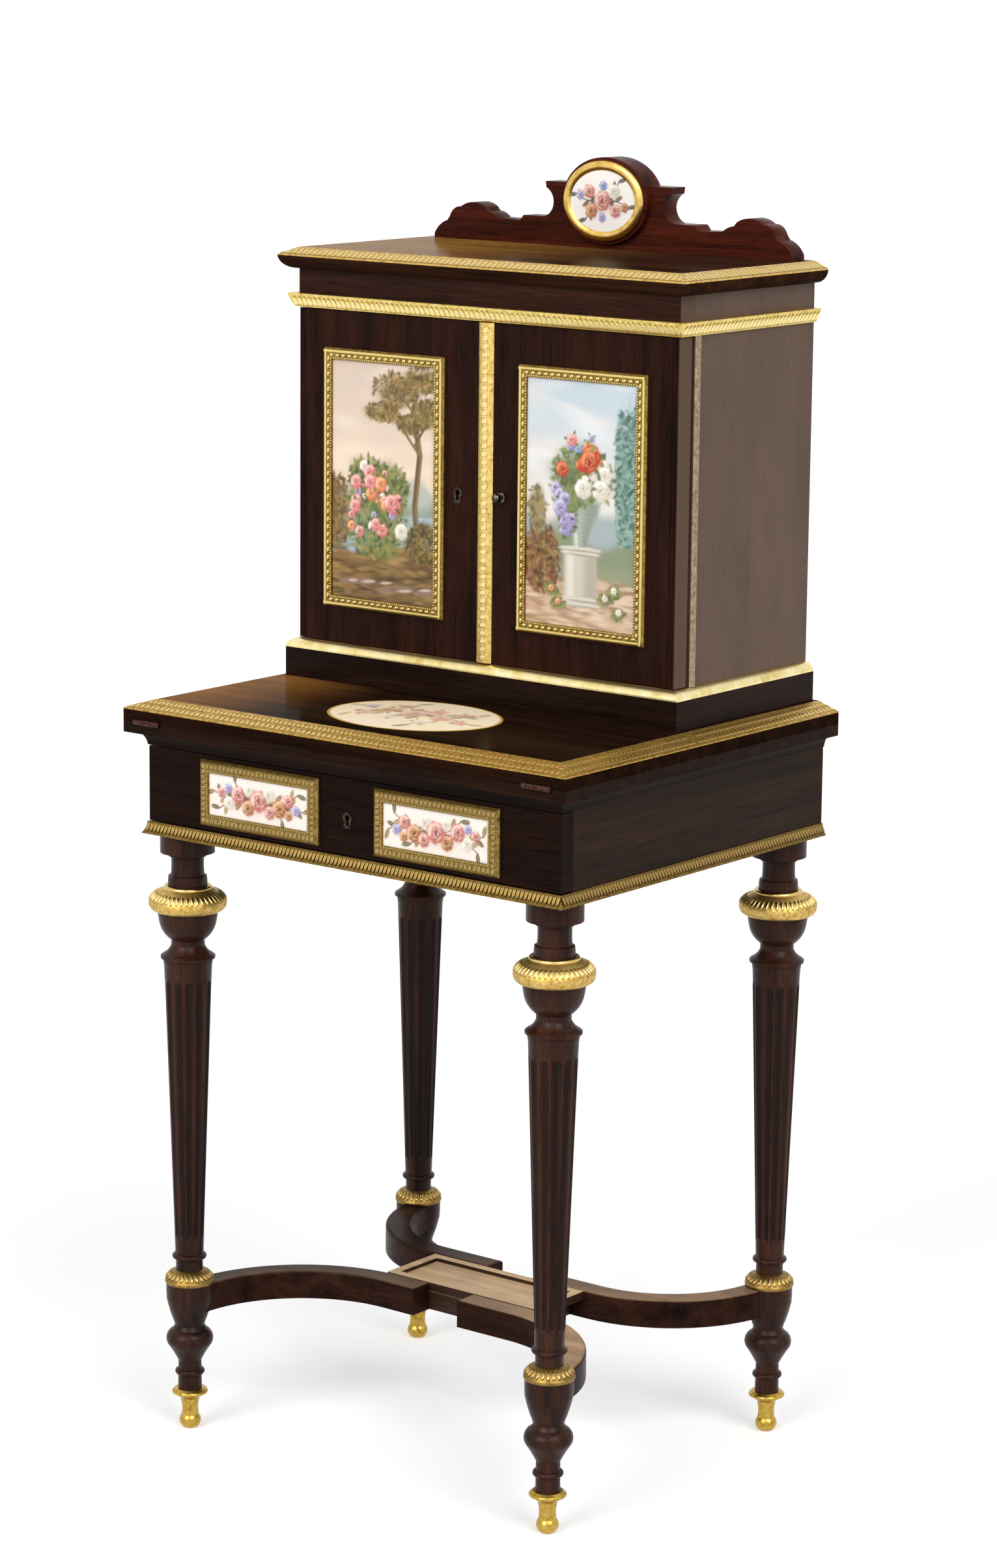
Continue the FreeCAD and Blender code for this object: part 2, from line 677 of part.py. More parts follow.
def cabinet():
    low, high = pivots()
    front = box(-half_plinth, half_plinth, y_plinth, y_plinth + plinth_thick, z_table, z_plinth_top)
    side = box(half_plinth - plinth_thick, half_plinth, y_plinth + plinth_thick, y_cabinet_back,
               z_table, z_plinth_top)
    x = half_plinth - plinth_thick
    back = box(-x, x, y_cabinet_back - plinth_thick, y_cabinet_back, z_table, z_plinth_top)
    plinth = Part.makeCompound(both(side) + [front, back])
    z_bead = z_plinth_top + bead_height
    z_land = z_plinth_top + bead_land
    slant = math.sqrt(2) / 2
    round_u = (ledge - bead_land) * slant + bead_land * (1 - slant)
    round_z = z_land + (bead_height - bead_land) * slant
    path = [(0, z_plinth_top), (ledge, z_plinth_top), (ledge, z_land),
            (round_u, round_z, bead_land, z_bead), (0, z_bead)]
    bead = three_sided(path, half_cabinet, y_door, y_cabinet_back)
    floor = box(-half_cabinet, half_cabinet, y_door, y_cabinet_back, z_plinth_top, z_floor).cut(both(low))
    z_shelf = z_floor + shelf_rise
    reach = inner_cabinet + dado_depth
    shelf = box(-reach, reach, y_cabinet + shelf_set_back, y_inner_back, z_shelf, z_shelf + shelf_thick)
    wall = box(inner_cabinet, half_cabinet, y_cabinet, y_cabinet_back, z_floor, z_top).cut(shelf)
    rear = box(-inner_cabinet, inner_cabinet, y_inner_back, y_cabinet_back, z_floor, z_top)
    rail = box(-half_cabinet, half_cabinet, y_door, y_cabinet, z_cornice, z_top).cut(both(high))
    rise = (cornice_lip + cornice_reach + cornice_reach) / 3
    middle = (z_cornice + z_band_top) / 2
    path = [(0, z_cornice), (cornice_lip, z_cornice),
            (rise, middle, cornice_reach, z_band_top), (0, z_band_top)]
    band = three_sided(path, half_cabinet, y_door, y_cabinet_back)
    z_ovolo = z_top + top_ovolo_height
    out = top_overhang * slant
    z_out = z_top + top_ovolo_height * (1 - slant)
    path = [(0, z_top), (out, z_out, top_overhang, z_ovolo), (0, z_ovolo), (0, z_crest)]
    board = edged_board(path, half_cabinet, y_door, y_cabinet_back)
    path = [(0, z_ovolo), (top_overhang, z_ovolo), (top_overhang, z_ovolo + edge_land), (0, z_crest)]
    edge = three_sided(path, half_cabinet, y_door, y_cabinet_back)
    y1 = y_cabinet + fillet_width
    bulge = half_cabinet + fillet_thick
    section = [(half_cabinet, y_cabinet), (bulge, (y_cabinet + y1) / 2, half_cabinet, y1)]
    fillet = face_of(section, lambda x, y: Vector(x, y, z_floor)).extrude(Vector(0, 0, opening_height))
    return {
        "plinth": plinth, "plinth_brass_bead": Part.makeCompound(bead),
        "cabinet_shelves": Part.makeCompound([floor, shelf]),
        "cabinet_sides": Part.makeCompound(both(wall)),
        "cabinet_back": rear, "cornice_rail": rail, "cornice_brass_band": Part.makeCompound(band),
        "cabinet_top": board, "top_brass_edge": Part.makeCompound(edge),
        "side_fillets": Part.makeCompound(both(fillet)),
        "door_pivots": Part.makeCompound(both(low) + both(high))}


# Doors: a board on pivots near its outer edge, with a rounded back edge so that it clears the case
def door_board(edge_x):
    path = [(edge_x, y_door), (half_cabinet - door_front_round, y_door)]
    slant = math.sqrt(2) / 2
    x = half_cabinet - door_front_round * (1 - slant)
    y = y_door + door_front_round * (1 - slant)
    path += [(x, y, half_cabinet, y_door + door_front_round), (half_cabinet, y_door_back - door_rear_round)]
    x = half_cabinet - door_rear_round * (1 - slant)
    y = y_door_back - door_rear_round * (1 - slant)
    path += [(x, y, half_cabinet - door_rear_round, y_door_back), (edge_x, y_door_back)]
    board = face_of(path, lambda u, v: Vector(u, v, z_door)).extrude(Vector(0, 0, z_door_top - z_door))
    depth = pivot_length + running_fit
    for z in [z_door, z_door_top - depth]:
        board = board.cut(Part.makeCylinder(pivot_r + running_fit, depth, Vector(x_pivot, y_pivot, z)))
    for i in range(2):
        reed_x = half_cabinet - reed_pitch * (i + 1)
        board = board.cut(Part.makeCylinder(reed_r, z_door_top - z_door, Vector(reed_x, y_door, z_door)))
    return board


def door_bolt(grow, reach):
    tip = x_door_left - bolt_sink / 2
    z = z_floor + door_key_rise
    y = y_door_back - bolt_inset - bolt_thick
    return box(tip - bolt_length - grow, tip + reach + grow, y - grow, y + bolt_thick + grow,
               z - bolt_width / 3 - grow, z + bolt_width / 3 + grow)


def doors():
    key_z = z_floor + door_key_rise
    x1 = x_door_left - door_lock_from_edge
    lock = box(x1 - lock_height, x1, y_door_back - lock_thick, y_door_back,
               key_z - lock_height / 2, key_z + lock_height / 2)
    path = door_bolt(slide_gap, bolt_travel)
    left = mirrored(door_board(-x_door_left)).cut([lock, path])
    right = door_board(x_door_right).cut(path)
    hole = keyhole(-door_key_x, key_z, 0, y_door - overrun, y_door_back - bolt_inset - bolt_thick)
    plate = keyhole(-door_key_x, key_z, key_rim, y_door - key_plate_thick + key_plate_sink,
                    y_door + key_plate_sink)
    left = left.cut([hole, plate])
    framed = framed_plaque(door_frame_x, door_frame_z, door_frame_width, door_frame_height,
                           door_frame_member, y_door)
    section = [(x_door_right, y_door), (x_door_right, y_door - strip_land)]
    middle = x_door_right + strip_width / 2
    section += [(middle, y_door - strip_thick, x_door_right + strip_width, y_door - strip_land)]
    section += [(x_door_right + strip_width, y_door)]
    strip = face_of(section, lambda x, y: Vector(x, y, z_door)).extrude(Vector(0, 0, z_door_top - z_door))
    z_ball = knob_reach - knob_r
    profile = [(0, -knob_spindle_length), (knob_spindle_r, -knob_spindle_length), (knob_spindle_r, 0)]
    profile += [(knob_rose_r, 0), (knob_rose_r, knob_rose_thick / 2), (knob_neck_r, knob_rose_thick)]
    profile += [(knob_neck_r, z_ball), (0, z_ball)]
    knob = turned(profile).fuse(Part.makeSphere(knob_r, Vector(0, 0, z_ball)))
    knob.rotate(Vector(0, 0, 0), Vector(1, 0, 0), 90)
    knob.translate(Vector(knob_x, y_door, z_floor + knob_rise))
    right = right.cut(knob)
    return {
        "left_door": left, "left_door_frame": mirrored(framed[0]), "left_door_plaque": mirrored(framed[1]),
        "left_door_escutcheon": plate.cut(hole), "door_lock": lock.cut([path, hole]),
        "door_lock_bolt": door_bolt(0, 0), "right_door": right, "right_door_frame": framed[0],
        "right_door_plaque": framed[1], "right_door_knob": knob, "centre_strip": strip}


def crest():
    y1 = y_cabinet_back - crest_from_back
    y0 = y1 - crest_thick
    path = scaled(crest_shares, crest_half_width, z_crest, crest_rise)
    right = edges_of(path, lambda x, z: Vector(x, y0, z))
    left = edges_of(path, lambda x, z: Vector(-x, y0, z))
    head = path[-1]
    caps = [Part.makeLine(Vector(-crest_half_width, y0, z_crest), Vector(crest_half_width, y0, z_crest)),
            Part.makeLine(Vector(-head[0], y0, head[1]), Vector(head[0], y0, head[1]))]
    board = Part.Face(Part.Wire(Part.sortEdges(right + left + caps)[0])).extrude(Vector(0, crest_thick, 0))
    z = z_crest + drum_rise
    drum = oval(drum_half_width, drum_half_height, Vector(0, y1, z), "y", crest_thick + drum_reach)
    board = board.fuse(drum).removeSplitter()
    y = y0 - drum_reach
    ring = oval(ring_half_width, ring_half_height, Vector(0, y, z), "y", ring_thick)
    sight_x = ring_half_width - ring_member
    sight_z = ring_half_height - ring_member
    ring = ring.cut(oval(sight_x, sight_z, Vector(0, y, z), "y", ring_thick + overrun))
    plaque = oval(sight_x + oval_rebate, sight_z + oval_rebate, Vector(0, y, z), "y", oval_thick)
    return {"crest_board": board, "crest_ring": ring.cut(plaque), "crest_plaque": plaque}


legs = at_legs(leg())
leg_names = ["leg_front_left", "leg_front_right", "leg_rear_left", "leg_rear_right"]
nodes = dict(zip(leg_names, legs))
nodes["leg_bulb_rings"] = Part.makeCompound(at_legs(bulb_ring()))
nodes["leg_collars"] = Part.makeCompound(at_legs(collar()))
nodes["toe_caps"] = Part.makeCompound(at_legs(toe()))
arms, block, tablet = stretcher(legs[1], legs[3])
nodes["stretcher_arms"] = arms
nodes["stretcher_block"] = block
nodes["stretcher_tablet"] = tablet
bottom, boards, runners, moulding, band = frieze(legs)
nodes["frieze_bottom"] = bottom
nodes["frieze_boards"] = boards
nodes["drawer_runners"] = runners
nodes["under_top_moulding"] = moulding
nodes["frieze_brass_band"] = band
nodes.update(drawer())
nodes.update(writing_top())
nodes.update(cabinet())
nodes.update(doors())
nodes.update(crest())
for name, shape in nodes.items():
    shape.exportStep("parts/" + name + ".step")
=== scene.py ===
from math import atan2, cos, dist, hypot, pi, radians, sin, sqrt, tau

import bpy
import numpy as np
from mathutils import Matrix, Vector


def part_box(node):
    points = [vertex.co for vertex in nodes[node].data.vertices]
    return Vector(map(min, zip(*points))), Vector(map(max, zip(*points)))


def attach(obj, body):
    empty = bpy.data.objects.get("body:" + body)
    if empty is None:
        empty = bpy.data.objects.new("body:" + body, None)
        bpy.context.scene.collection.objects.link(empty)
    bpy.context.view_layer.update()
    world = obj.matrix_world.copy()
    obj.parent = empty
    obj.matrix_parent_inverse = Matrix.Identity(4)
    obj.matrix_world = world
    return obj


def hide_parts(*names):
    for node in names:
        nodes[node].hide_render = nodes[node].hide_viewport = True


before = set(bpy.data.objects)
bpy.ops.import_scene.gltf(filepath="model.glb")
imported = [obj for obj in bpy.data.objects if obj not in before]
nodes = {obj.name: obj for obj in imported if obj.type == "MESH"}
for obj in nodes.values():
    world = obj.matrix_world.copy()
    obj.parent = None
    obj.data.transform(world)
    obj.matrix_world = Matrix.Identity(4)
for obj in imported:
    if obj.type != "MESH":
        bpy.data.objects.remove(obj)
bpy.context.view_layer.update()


# Legs: four turned posts of fruitwood, each one piece from the frieze down to the toe, with flutes run down
# the taper after turning. They are stained nearly black and french polished; the grain stands upright.
mm = 0.001


def tint(code):
    """A colour code in the linear values that a shader takes."""
    shares = [int(code[i:i + 2], 16) / 255 for i in (1, 3, 5)]
    return np.array([s / 12.92 if s <= 0.04045 else ((s + 0.055) / 1.055) ** 2.4 for s in shares])


def step(tree, kind, inputs, **settings):
    """One shader node: settings are its own choices, inputs are numbers or the sockets that feed it."""
    made = tree.nodes.new("ShaderNode" + kind)
    for key, value in settings.items():
        setattr(made, key, value)
    for key, value in inputs.items():
        if isinstance(value, bpy.types.NodeSocket):
            tree.links.new(value, made.inputs[key])
        else:
            made.inputs[key].default_value = value
    return made


def sums(tree, operation, *values):
    """One step of arithmetic on numbers or sockets."""
    return step(tree, "Math", dict(enumerate(values)), operation=operation).outputs["Value"]


def spread(tree, value, start, end, low=0.0, high=1.0, **settings):
    """A value taken from one range to another, and held at its ends."""
    inputs = {"Value": value, "From Min": start, "From Max": end, "To Min": low, "To Max": high}
    return step(tree, "MapRange", inputs, **settings).outputs["Result"]


def mixed(tree, amount, first, second, **settings):
    """Two colours mixed; the numbers are the places of a colour mix's sockets."""
    return step(tree, "Mix", {0: amount, 6: first, 7: second}, data_type="RGBA", **settings).outputs[2]


def axes(tree, kind="Object"):
    """The piece's own coordinates, or the way that its surface looks, as X, Y and Z."""
    return step(tree, "SeparateXYZ", {0: step(tree, "TexCoord", {}).outputs[kind]}).outputs


def new_finish(name, **sockets):
    material = bpy.data.materials.new(name)
    material.use_nodes = True
    for key, value in sockets.items():
        material.node_tree.nodes["Principled BSDF"].inputs[key.replace("_", " ")].default_value = value
    return material, material.node_tree


def feed(tree, socket, value):
    tree.links.new(value, tree.nodes["Principled BSDF"].inputs[socket])


def figure(tree, stretch, detail=6.0, twist=0.4):
    """Streaks or specks in the piece's own coordinates: stretch is how many fit in a metre each way."""
    place = step(tree, "TexCoord", {})
    scaled = step(tree, "Mapping", {"Vector": place.outputs["Object"], "Scale": stretch})
    noise = step(tree, "TexNoise", {"Vector": scaled.outputs["Vector"], "Scale": 1.0, "Detail": detail,
                                    "Roughness": 0.6, "Distortion": twist})
    return noise.outputs["Fac"]


def blend(tree, amount, places, shades):
    """Shades that pass into each other, each pure at its place in the amount's range."""
    ramp = step(tree, "ValToRGB", {"Fac": amount})
    stops = ramp.color_ramp.elements
    while len(stops) < len(places):
        stops.new(0.5)
    for stop, place, shade in zip(stops, places, shades.split()):
        stop.position = place
        stop.color = (*tint(shade), 1.0)
    return ramp.outputs["Color"]


def rough_between(tree, amount, low, high):
    feed(tree, "Roughness", spread(tree, amount, 0.0, 1.0, low, high))


def raised_by(tree, amount, depth, strength):
    bump = step(tree, "Bump", {"Height": amount, "Distance": depth, "Strength": strength})
    feed(tree, "Normal", bump.outputs["Normal"])


def wood(along, shades, gloss=0.3, level=0.12, streak=60.0, top=None, fade_and_sheen_band=None, pore_share=0.8):
    """Polished wood with the grain along one axis, or level: broad figure, fine pores, uneven gloss. On faces
    that look up a painted sheen, in part also fading of the polish, turns patches to the top colours; a
    start, end and slant may hold that painted sheen to a band."""
    material, tree = new_finish("wood", Specular_IOR_Level=level)
    broad = [3.5 if way in along else streak for way in "xyz"]
    pores = [30.0 if way in along else 900.0 for way in "xyz"]
    colour = blend(tree, figure(tree, broad), (0.32, 0.72), shades)
    specks = figure(tree, pores, detail=2.0, twist=0.0)
    shade = blend(tree, specks, (0.30, 0.50), "#6a6a6a #ffffff")
    shown = mixed(tree, pore_share, colour, shade, blend_type="MULTIPLY")
    # painted sheen: faces that look up turn lighter in patches, partly also fading
    if top:
        sheen_patches = spread(tree, figure(tree, [25.0] * 3, detail=4.0), 0.25, 0.5, low=0.7)
        amount = sums(tree, "MULTIPLY", sheen_patches, spread(tree, axes(tree, "Normal")["Z"], 0.55, 0.95))
        if fade_and_sheen_band:
            start, end, slant = fade_and_sheen_band
            place = axes(tree)
            across = sums(tree, "MULTIPLY_ADD", place["Y"], slant, place["X"])
            part = spread(tree, across, start, end, interpolation_type="SMOOTHSTEP")
            amount = sums(tree, "MULTIPLY", amount, part)
        # worn holds the painted sheen's top colours
        worn = blend(tree, figure(tree, broad), (0.3, 0.7), top)
        shown = mixed(tree, amount, shown, worn)
    feed(tree, "Base Color", shown)
    rough_between(tree, specks, gloss - 0.06, gloss + 0.10)
    raised_by(tree, specks, 0.2 * mm, 0.12)
    return material


def finish(material, *names):
    """Lays a finish on pieces, and names it after the first of them."""
    material.name = names[0] + "_finish"
    for name in names:
        nodes[name].data.materials.clear()
        nodes[name].data.materials.append(material)


def laid_over(material, amount, colour):
    """Lays a plain colour over a finish, by an amount that varies from place to place."""
    tree = material.node_tree
    plain = tree.nodes["Principled BSDF"].inputs["Base Color"].links[0].from_socket
    feed(tree, "Base Color", mixed(tree, amount, plain, (*tint(colour), 1.0)))


def painted_flute_shade(material, middle, count, low, high, end):
    """Painted shade lies dark in the flutes round an upright middle line, from one height to another."""
    tree = material.node_tree
    place = axes(tree)
    x, y = sums(tree, "SUBTRACT", place["X"], middle.x), sums(tree, "SUBTRACT", place["Y"], middle.y)
    wave = sums(tree, "COSINE", sums(tree, "MULTIPLY", sums(tree, "ARCTAN2", y, x), count))
    amount = spread(tree, wave, 0.45, -0.35, high=0.75)
    for start, full in ((low, low + end), (high, high - end)):
        amount = sums(tree, "MULTIPLY", amount, spread(tree, place["Z"], start, full))
    laid_over(material, amount, "#0b0605")


def measured(node):
    """A node's lowest and highest corners, its middle and half its size."""
    lo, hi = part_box(node)
    return lo, hi, (lo + hi) / 2, (hi - lo) / 2


LEGS = ("leg_front_left", "leg_front_right", "leg_rear_left", "leg_rear_right")
flute_count, flute_low, flute_high, flute_end = 12.0, 199 * mm, 465 * mm, 6 * mm
for leg in LEGS:
    leg_wood = wood("z", "#170b08 #45271a")
    # painted shade darkens the flutes of each leg
    painted_flute_shade(leg_wood, measured(leg)[2], flute_count, flute_low, flute_high, flute_end)
    finish(leg_wood, leg)


# Leg brass: a cast ring round each bulb, a collar above each stretcher joint and a turned toe under each
# foot. All are brass, chased and fire gilt; the ring is gadrooned under a round bead and the collar is lobed.
def gilt(shades, rough=0.3, speck=260.0, dent=0.1):
    """Gilt brass, a little rubbed: bright gold that turns darker and duller in patches."""
    material, tree = new_finish("gilt", Metallic=1.0)
    patches = figure(tree, [speck] * 3, detail=5.0)
    feed(tree, "Base Color", blend(tree, patches, (0.26, 0.44, 0.74), shades))
    rough_between(tree, patches, rough + 0.12, rough - 0.06)
    raised_by(tree, patches, 0.12 * mm, dent)
    return material


def chased_gilt(name, shades, dull=0.42, bright=0.2):
    """Gilt ornament: its hollows keep a brown patina and its high places are rubbed bright."""
    material, tree = new_finish(name, Metallic=1.0)
    height = step(tree, "Attribute", {}, attribute_name="relief", attribute_type="GEOMETRY").outputs["Fac"]
    wander = sums(tree, "MULTIPLY_ADD", figure(tree, [420.0] * 3, detail=4.0), 0.5, -0.25)
    level = sums(tree, "ADD", height, wander)
    feed(tree, "Base Color", blend(tree, level, (0.10, 0.45, 0.95), shades))
    rough_between(tree, level, dull, bright)
    return material


def rings(wide, tall, rise, turns):
    """Level oval rings of points, one for each half width, half length and height."""
    a = np.arange(turns) * tau / turns
    level = np.repeat(rise[:, None], turns, 1)
    return np.stack([np.outer(wide, np.cos(a)), np.outer(tall, np.sin(a)), level], -1).reshape(-1, 3)


def woven(rows, columns, start=0, closed=False):
    """Faces between closed rings of points, one ring to a row; the last ring may meet the first again."""
    faces = []
    for row in range(rows if closed else rows - 1):
        here, there = start + row * columns, start + (row + 1) % rows * columns
        for k in range(columns):
            n = (k + 1) % columns
            faces.append([here + k, here + n, there + n, there + k])
    return faces


def pearl_stamp(width, length, height):
    """A raised pearl or gadroon: half an egg on a flat ground, closed behind."""
    turns = 12
    out = np.array([1.0, 0.93, 0.72, 0.4])
    rise = np.sqrt(1 - out ** 2)
    egg = rings(out * width / 2, out * length / 2, rise * height, turns)
    last = (len(out) - 1) * turns
    cap = [[last + k, last + (k + 1) % turns, last + turns] for k in range(turns)]
    faces = woven(len(out), turns) + cap + [list(range(turns))[::-1]]
    return np.append(egg, [[0, 0, height]], 0), faces, np.append(np.repeat(rise, turns), 1.0)


def set_in(name, data):
    """A mesh, lamp or camera as an object of its own."""
    made = bpy.data.objects.new(name, data)
    bpy.context.collection.objects.link(made)
    return made


def smooth_piece(name, points, faces, material, sharp):
    """A closed mesh as an object of its own, smooth but for edges that turn by more than an angle."""
    mesh = bpy.data.meshes.new(name)
    mesh.from_pydata(points.tolist(), [], faces)
    mesh.shade_smooth()
    mesh.set_sharp_from_angle(angle=radians(sharp))
    mesh.materials.append(material)
    return set_in(name, mesh)


def stamped(name, body, material, *sets):
    """One piece of ornament from sets of a stamp and its places. A place is an origin, a way up and a way
    out; a way up shorter than one shortens the stamp."""
    points, faces, levels, count = [], [], [], 0
    for (shape, cells, rise), places in sets:
        for origin, up, out in places:
            across = np.cross(up / np.linalg.norm(up), out)
            points.append(origin + shape[:, :1] * across + shape[:, 1:2] * up + shape[:, 2:] * out)
            faces += [[i + count for i in cell] for cell in cells]
            levels.append(rise)
            count += len(shape)
    piece = smooth_piece(name, np.concatenate(points), faces, material, sharp=60)
    relief = piece.data.attributes.new("relief", "FLOAT", "POINT")
    relief.data.foreach_set("value", np.concatenate(levels))
    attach(piece, body)


def hoop(radius, thick):
    """A round bead bent into a level ring."""
    turns, sides = 72, 10
    b = np.arange(sides) * tau / sides
    reach = radius + thick * np.cos(b)
    points = rings(reach, reach, thick * np.sin(b), turns)
    return points, woven(sides, turns, closed=True), np.full(turns * sides, 0.7)


def around(centre, radius, count, tilt):
    """Places round an upright ring, facing out and up by the tilt."""
    places, rise = [], np.array([0.0, 0.0, 1.0])
    for a in np.arange(count) * tau / count:
        radial = np.array([cos(a), sin(a), 0.0])
        out = radial * cos(tilt) + rise * sin(tilt)
        up = rise * cos(tilt) - radial * sin(tilt)
        places.append((np.array(centre) + radial * radius, up, out))
    return places


finish(gilt("#84672e #bf9c50 #e2c77f", rough=0.4), "leg_bulb_rings")
finish(gilt("#5a4520 #826732 #a4884e", rough=0.4), "leg_collars")
finish(gilt("#80601e #b5923c #cdb060", rough=0.24), "toe_caps")
ring_chased = chased_gilt("ring_chased_gilt", "#7a5d26 #c09c50 #ecd08c")
collar_chased = chased_gilt("collar_chased_gilt", "#4e3a18 #886d38 #bb9d60")
ring_lo, ring_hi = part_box("leg_bulb_rings")
ring_out = ring_hi.x - sum(v.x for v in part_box("leg_front_right")) / 2
shoulder_radius, shoulder_tilt, gadroon_sink, gadroon_count = 11.1 * mm, radians(48), 1.7 * mm, 44
seat = shoulder_radius - gadroon_sink
gadroon_out = ring_out - shoulder_radius + seat * cos(shoulder_tilt)
gadroon_z = ring_lo.z + 0.33 * (ring_hi.z - ring_lo.z) + seat * sin(shoulder_tilt)
bead_z = ring_hi.z - 1.3 * mm
lobe_z, lobe_out, lobe_tilt, lobe_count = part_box("leg_collars")[0].z + 8.8 * mm, 20.8 * mm, radians(45), 26
gadroons, beads, lobes = [], [], []
for leg in LEGS:
    x, y, _ = measured(leg)[2]
    gadroons += around((x, y, gadroon_z), gadroon_out, gadroon_count, shoulder_tilt)
    beads.append((np.array([x, y, bead_z]), np.array([0, 1.0, 0]), np.array([0, 0, 1.0])))
    lobes += around((x, y, lobe_z), lobe_out, lobe_count, lobe_tilt)
gadroon = pearl_stamp(width=4.5 * mm, length=12 * mm, height=2.5 * mm)
lobe = pearl_stamp(width=4.3 * mm, length=9.6 * mm, height=1.4 * mm)
bead = hoop(radius=21.8 * mm, thick=2.4 * mm)
stamped("bulb_ring_chasing", "carcass", ring_chased, (gadroon, gadroons), (bead, beads))
stamped("collar_chasing", "carcass", collar_chased, (lobe, lobes))


# Stretcher: four sawn and curved arms that leave the legs and run along a centre block, with a sunk tablet
# let in between them. Same dark polished wood as the legs, with a painted sheen on top, grain from side to
# side.
def eased(width, *names):
    """Sharp arrises of a planed and polished piece are rubbed down a little."""
    for name in names:
        weld = nodes[name].modifiers.new("joined faces", "WELD")
        weld.merge_threshold = 0.01 * mm
        ease = nodes[name].modifiers.new("rubbed arrises", "BEVEL")
        ease.width = width
        ease.segments = 2
        ease.limit_method = "ANGLE"
        ease.angle_limit = radians(50)


# painted sheen on the arms' tops, strongest toward the front right where the light falls
finish(wood("x", "#150b08 #3a2117", level=0.03, top="#957556 #bf9c78", fade_and_sheen_band=(-0.2, 0.3, -1.0)),
       "stretcher_arms")
# painted tan sheen on the tops of the block and tablet
finish(wood("x", "#24150e #3f291b", gloss=0.4, top="#a88a66 #cfb088"), "stretcher_block", "stretcher_tablet")
eased(0.8 * mm, "stretcher_block", "stretcher_tablet")


# Frieze: side boards, back board, bottom and front top rail around the drawer, with a hollow moulding under
# the top. Veneered and polished almost black; the grain runs along each side.
finish(wood("xy", "#1b1008 #352213", gloss=0.34, level=0.05), "frieze_boards")
finish(wood("xy", "#120907 #28170f", level=0.03), "frieze_bottom", "under_top_moulding")
finish(wood("y", "#5a3a20 #8a6238", gloss=0.5), "drawer_runners")


# Frieze band: a cast brass moulding of overlapping leaves along the bottom edge of the front and sides,
# mitred at the corners, gilt and pinned on.
def grid_faces(rows, columns):
    """The faces of a grid of points, and the points round its edge in turn."""
    at = np.arange(rows * columns).reshape(rows, columns)
    faces = np.stack([at[:-1, :-1], at[:-1, 1:], at[1:, 1:], at[1:, :-1]], -1).reshape(-1, 4).tolist()
    return faces, [int(i) for i in [*at[0, :-1], *at[:-1, -1], *at[-1, :0:-1], *at[:0:-1, 0]]]


def closed_grid(x, y, rise, height):
    """A raised grid with one flat face behind, as points, faces and how far each point stands up."""
    faces, rim = grid_faces(*rise.shape)
    return np.stack([x, y, rise * height], -1).reshape(-1, 3), faces + [rim[::-1]], rise.reshape(-1)


def leaf_stamp(width, length, height):
    """A pointed leaf with a sunk middle rib, standing on a flat ground, closed behind."""
    u, v = np.meshgrid(np.linspace(-1, 1, 9), np.linspace(0, 1, 8))
    half = width / 2 * (0.08 + 0.9 * np.sqrt(np.clip(1 - v ** 2.4, 0, 1)))
    rib = 1 - 0.5 * np.exp(-(u / 0.22) ** 2)
    ends = np.sqrt(np.clip(np.minimum(v * 6, (1 - v) * 3.5), 0, 1))
    rise = np.sqrt(np.clip(1 - u ** 2, 0, 1)) * rib * ends
    return closed_grid(u * half, v * length, rise, height)


def line(start, end, pitch, up, out, sink=0.0):
    """Places in a straight row, evenly spaced near the pitch."""
    start, end = np.array(start, float), np.array(end, float)
    up, out = np.array(up, float), np.array(out, float)
    up, out = up / np.linalg.norm(up), out / np.linalg.norm(out)
    count = max(1, round(np.linalg.norm(end - start) / pitch))
    return [(start + (end - start) * (i + 0.5) / count - out * sink, up, out) for i in range(count)]


def three_rows(half, front, rear, foot, head, pitch, sink=0.0, share=0.0):
    """A row along the front and sides. Foot and head, the slope's ends, are (distance out, height). Near a
    mitre, an ornament that takes up that share of a slope running inward is cut short."""
    out, rise = head[0] - foot[0], head[1] - foot[1]
    way = 1 if rise > 0 else -1
    x, y, z = half + foot[0], front - foot[0], foot[1]
    reach = max(1e-6, -out * share)
    face = (0, -rise * way, -out * way)
    places = []
    for spot, up, face in line((-x, y, z), (x, y, z), pitch, (0, -out, rise), face, sink):
        places.append((spot, up * min(1.0, (x - abs(spot[0])) / reach), face))
    for s in (1, -1):
        face = (s * rise * way, 0, -out * way)
        for spot, up, face in line((s * x, y, z), (s * x, rear, z), pitch, (s * out, 0, rise), face, sink):
            places.append((spot, up * min(1.0, (spot[1] - y) / reach), face))
    return places


band_leaf = chased_gilt("band_leaf_gilt", "#3a290e #7c622e #ad9158", dull=0.6, bright=0.46)
finish(gilt("#463413 #705826 #957a46", rough=0.5), "frieze_brass_band")
lo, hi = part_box("frieze_brass_band")
band_out, band_lip = 6 * mm, 1.5 * mm
foot, head = (band_lip, hi.z - 0.8 * mm), (band_out, lo.z + 1.6 * mm)
rows = three_rows(hi.x - band_out, lo.y + band_out, hi.y, foot, head, pitch=4.6 * mm, sink=0.1 * mm)
frieze_leaf = leaf_stamp(width=4.4 * mm, length=9.6 * mm, height=0.55 * mm)
stamped("frieze_band_leaves", "carcass", band_leaf, (frieze_leaf, rows))


# Drawer: a veneered front as wide as the frieze on a box of paler wood, dovetailed, running on the runners.
# The front is polished black; sides, back and bottom are waxed oak.
finish(wood("x", "#100806 #25130c", level=0.03), "drawer_front")
finish(wood("y", "#6b4526 #a47a49", gloss=0.5, level=0.3), "drawer_box", "drawer_bottom")
eased(0.6 * mm, "drawer_front")


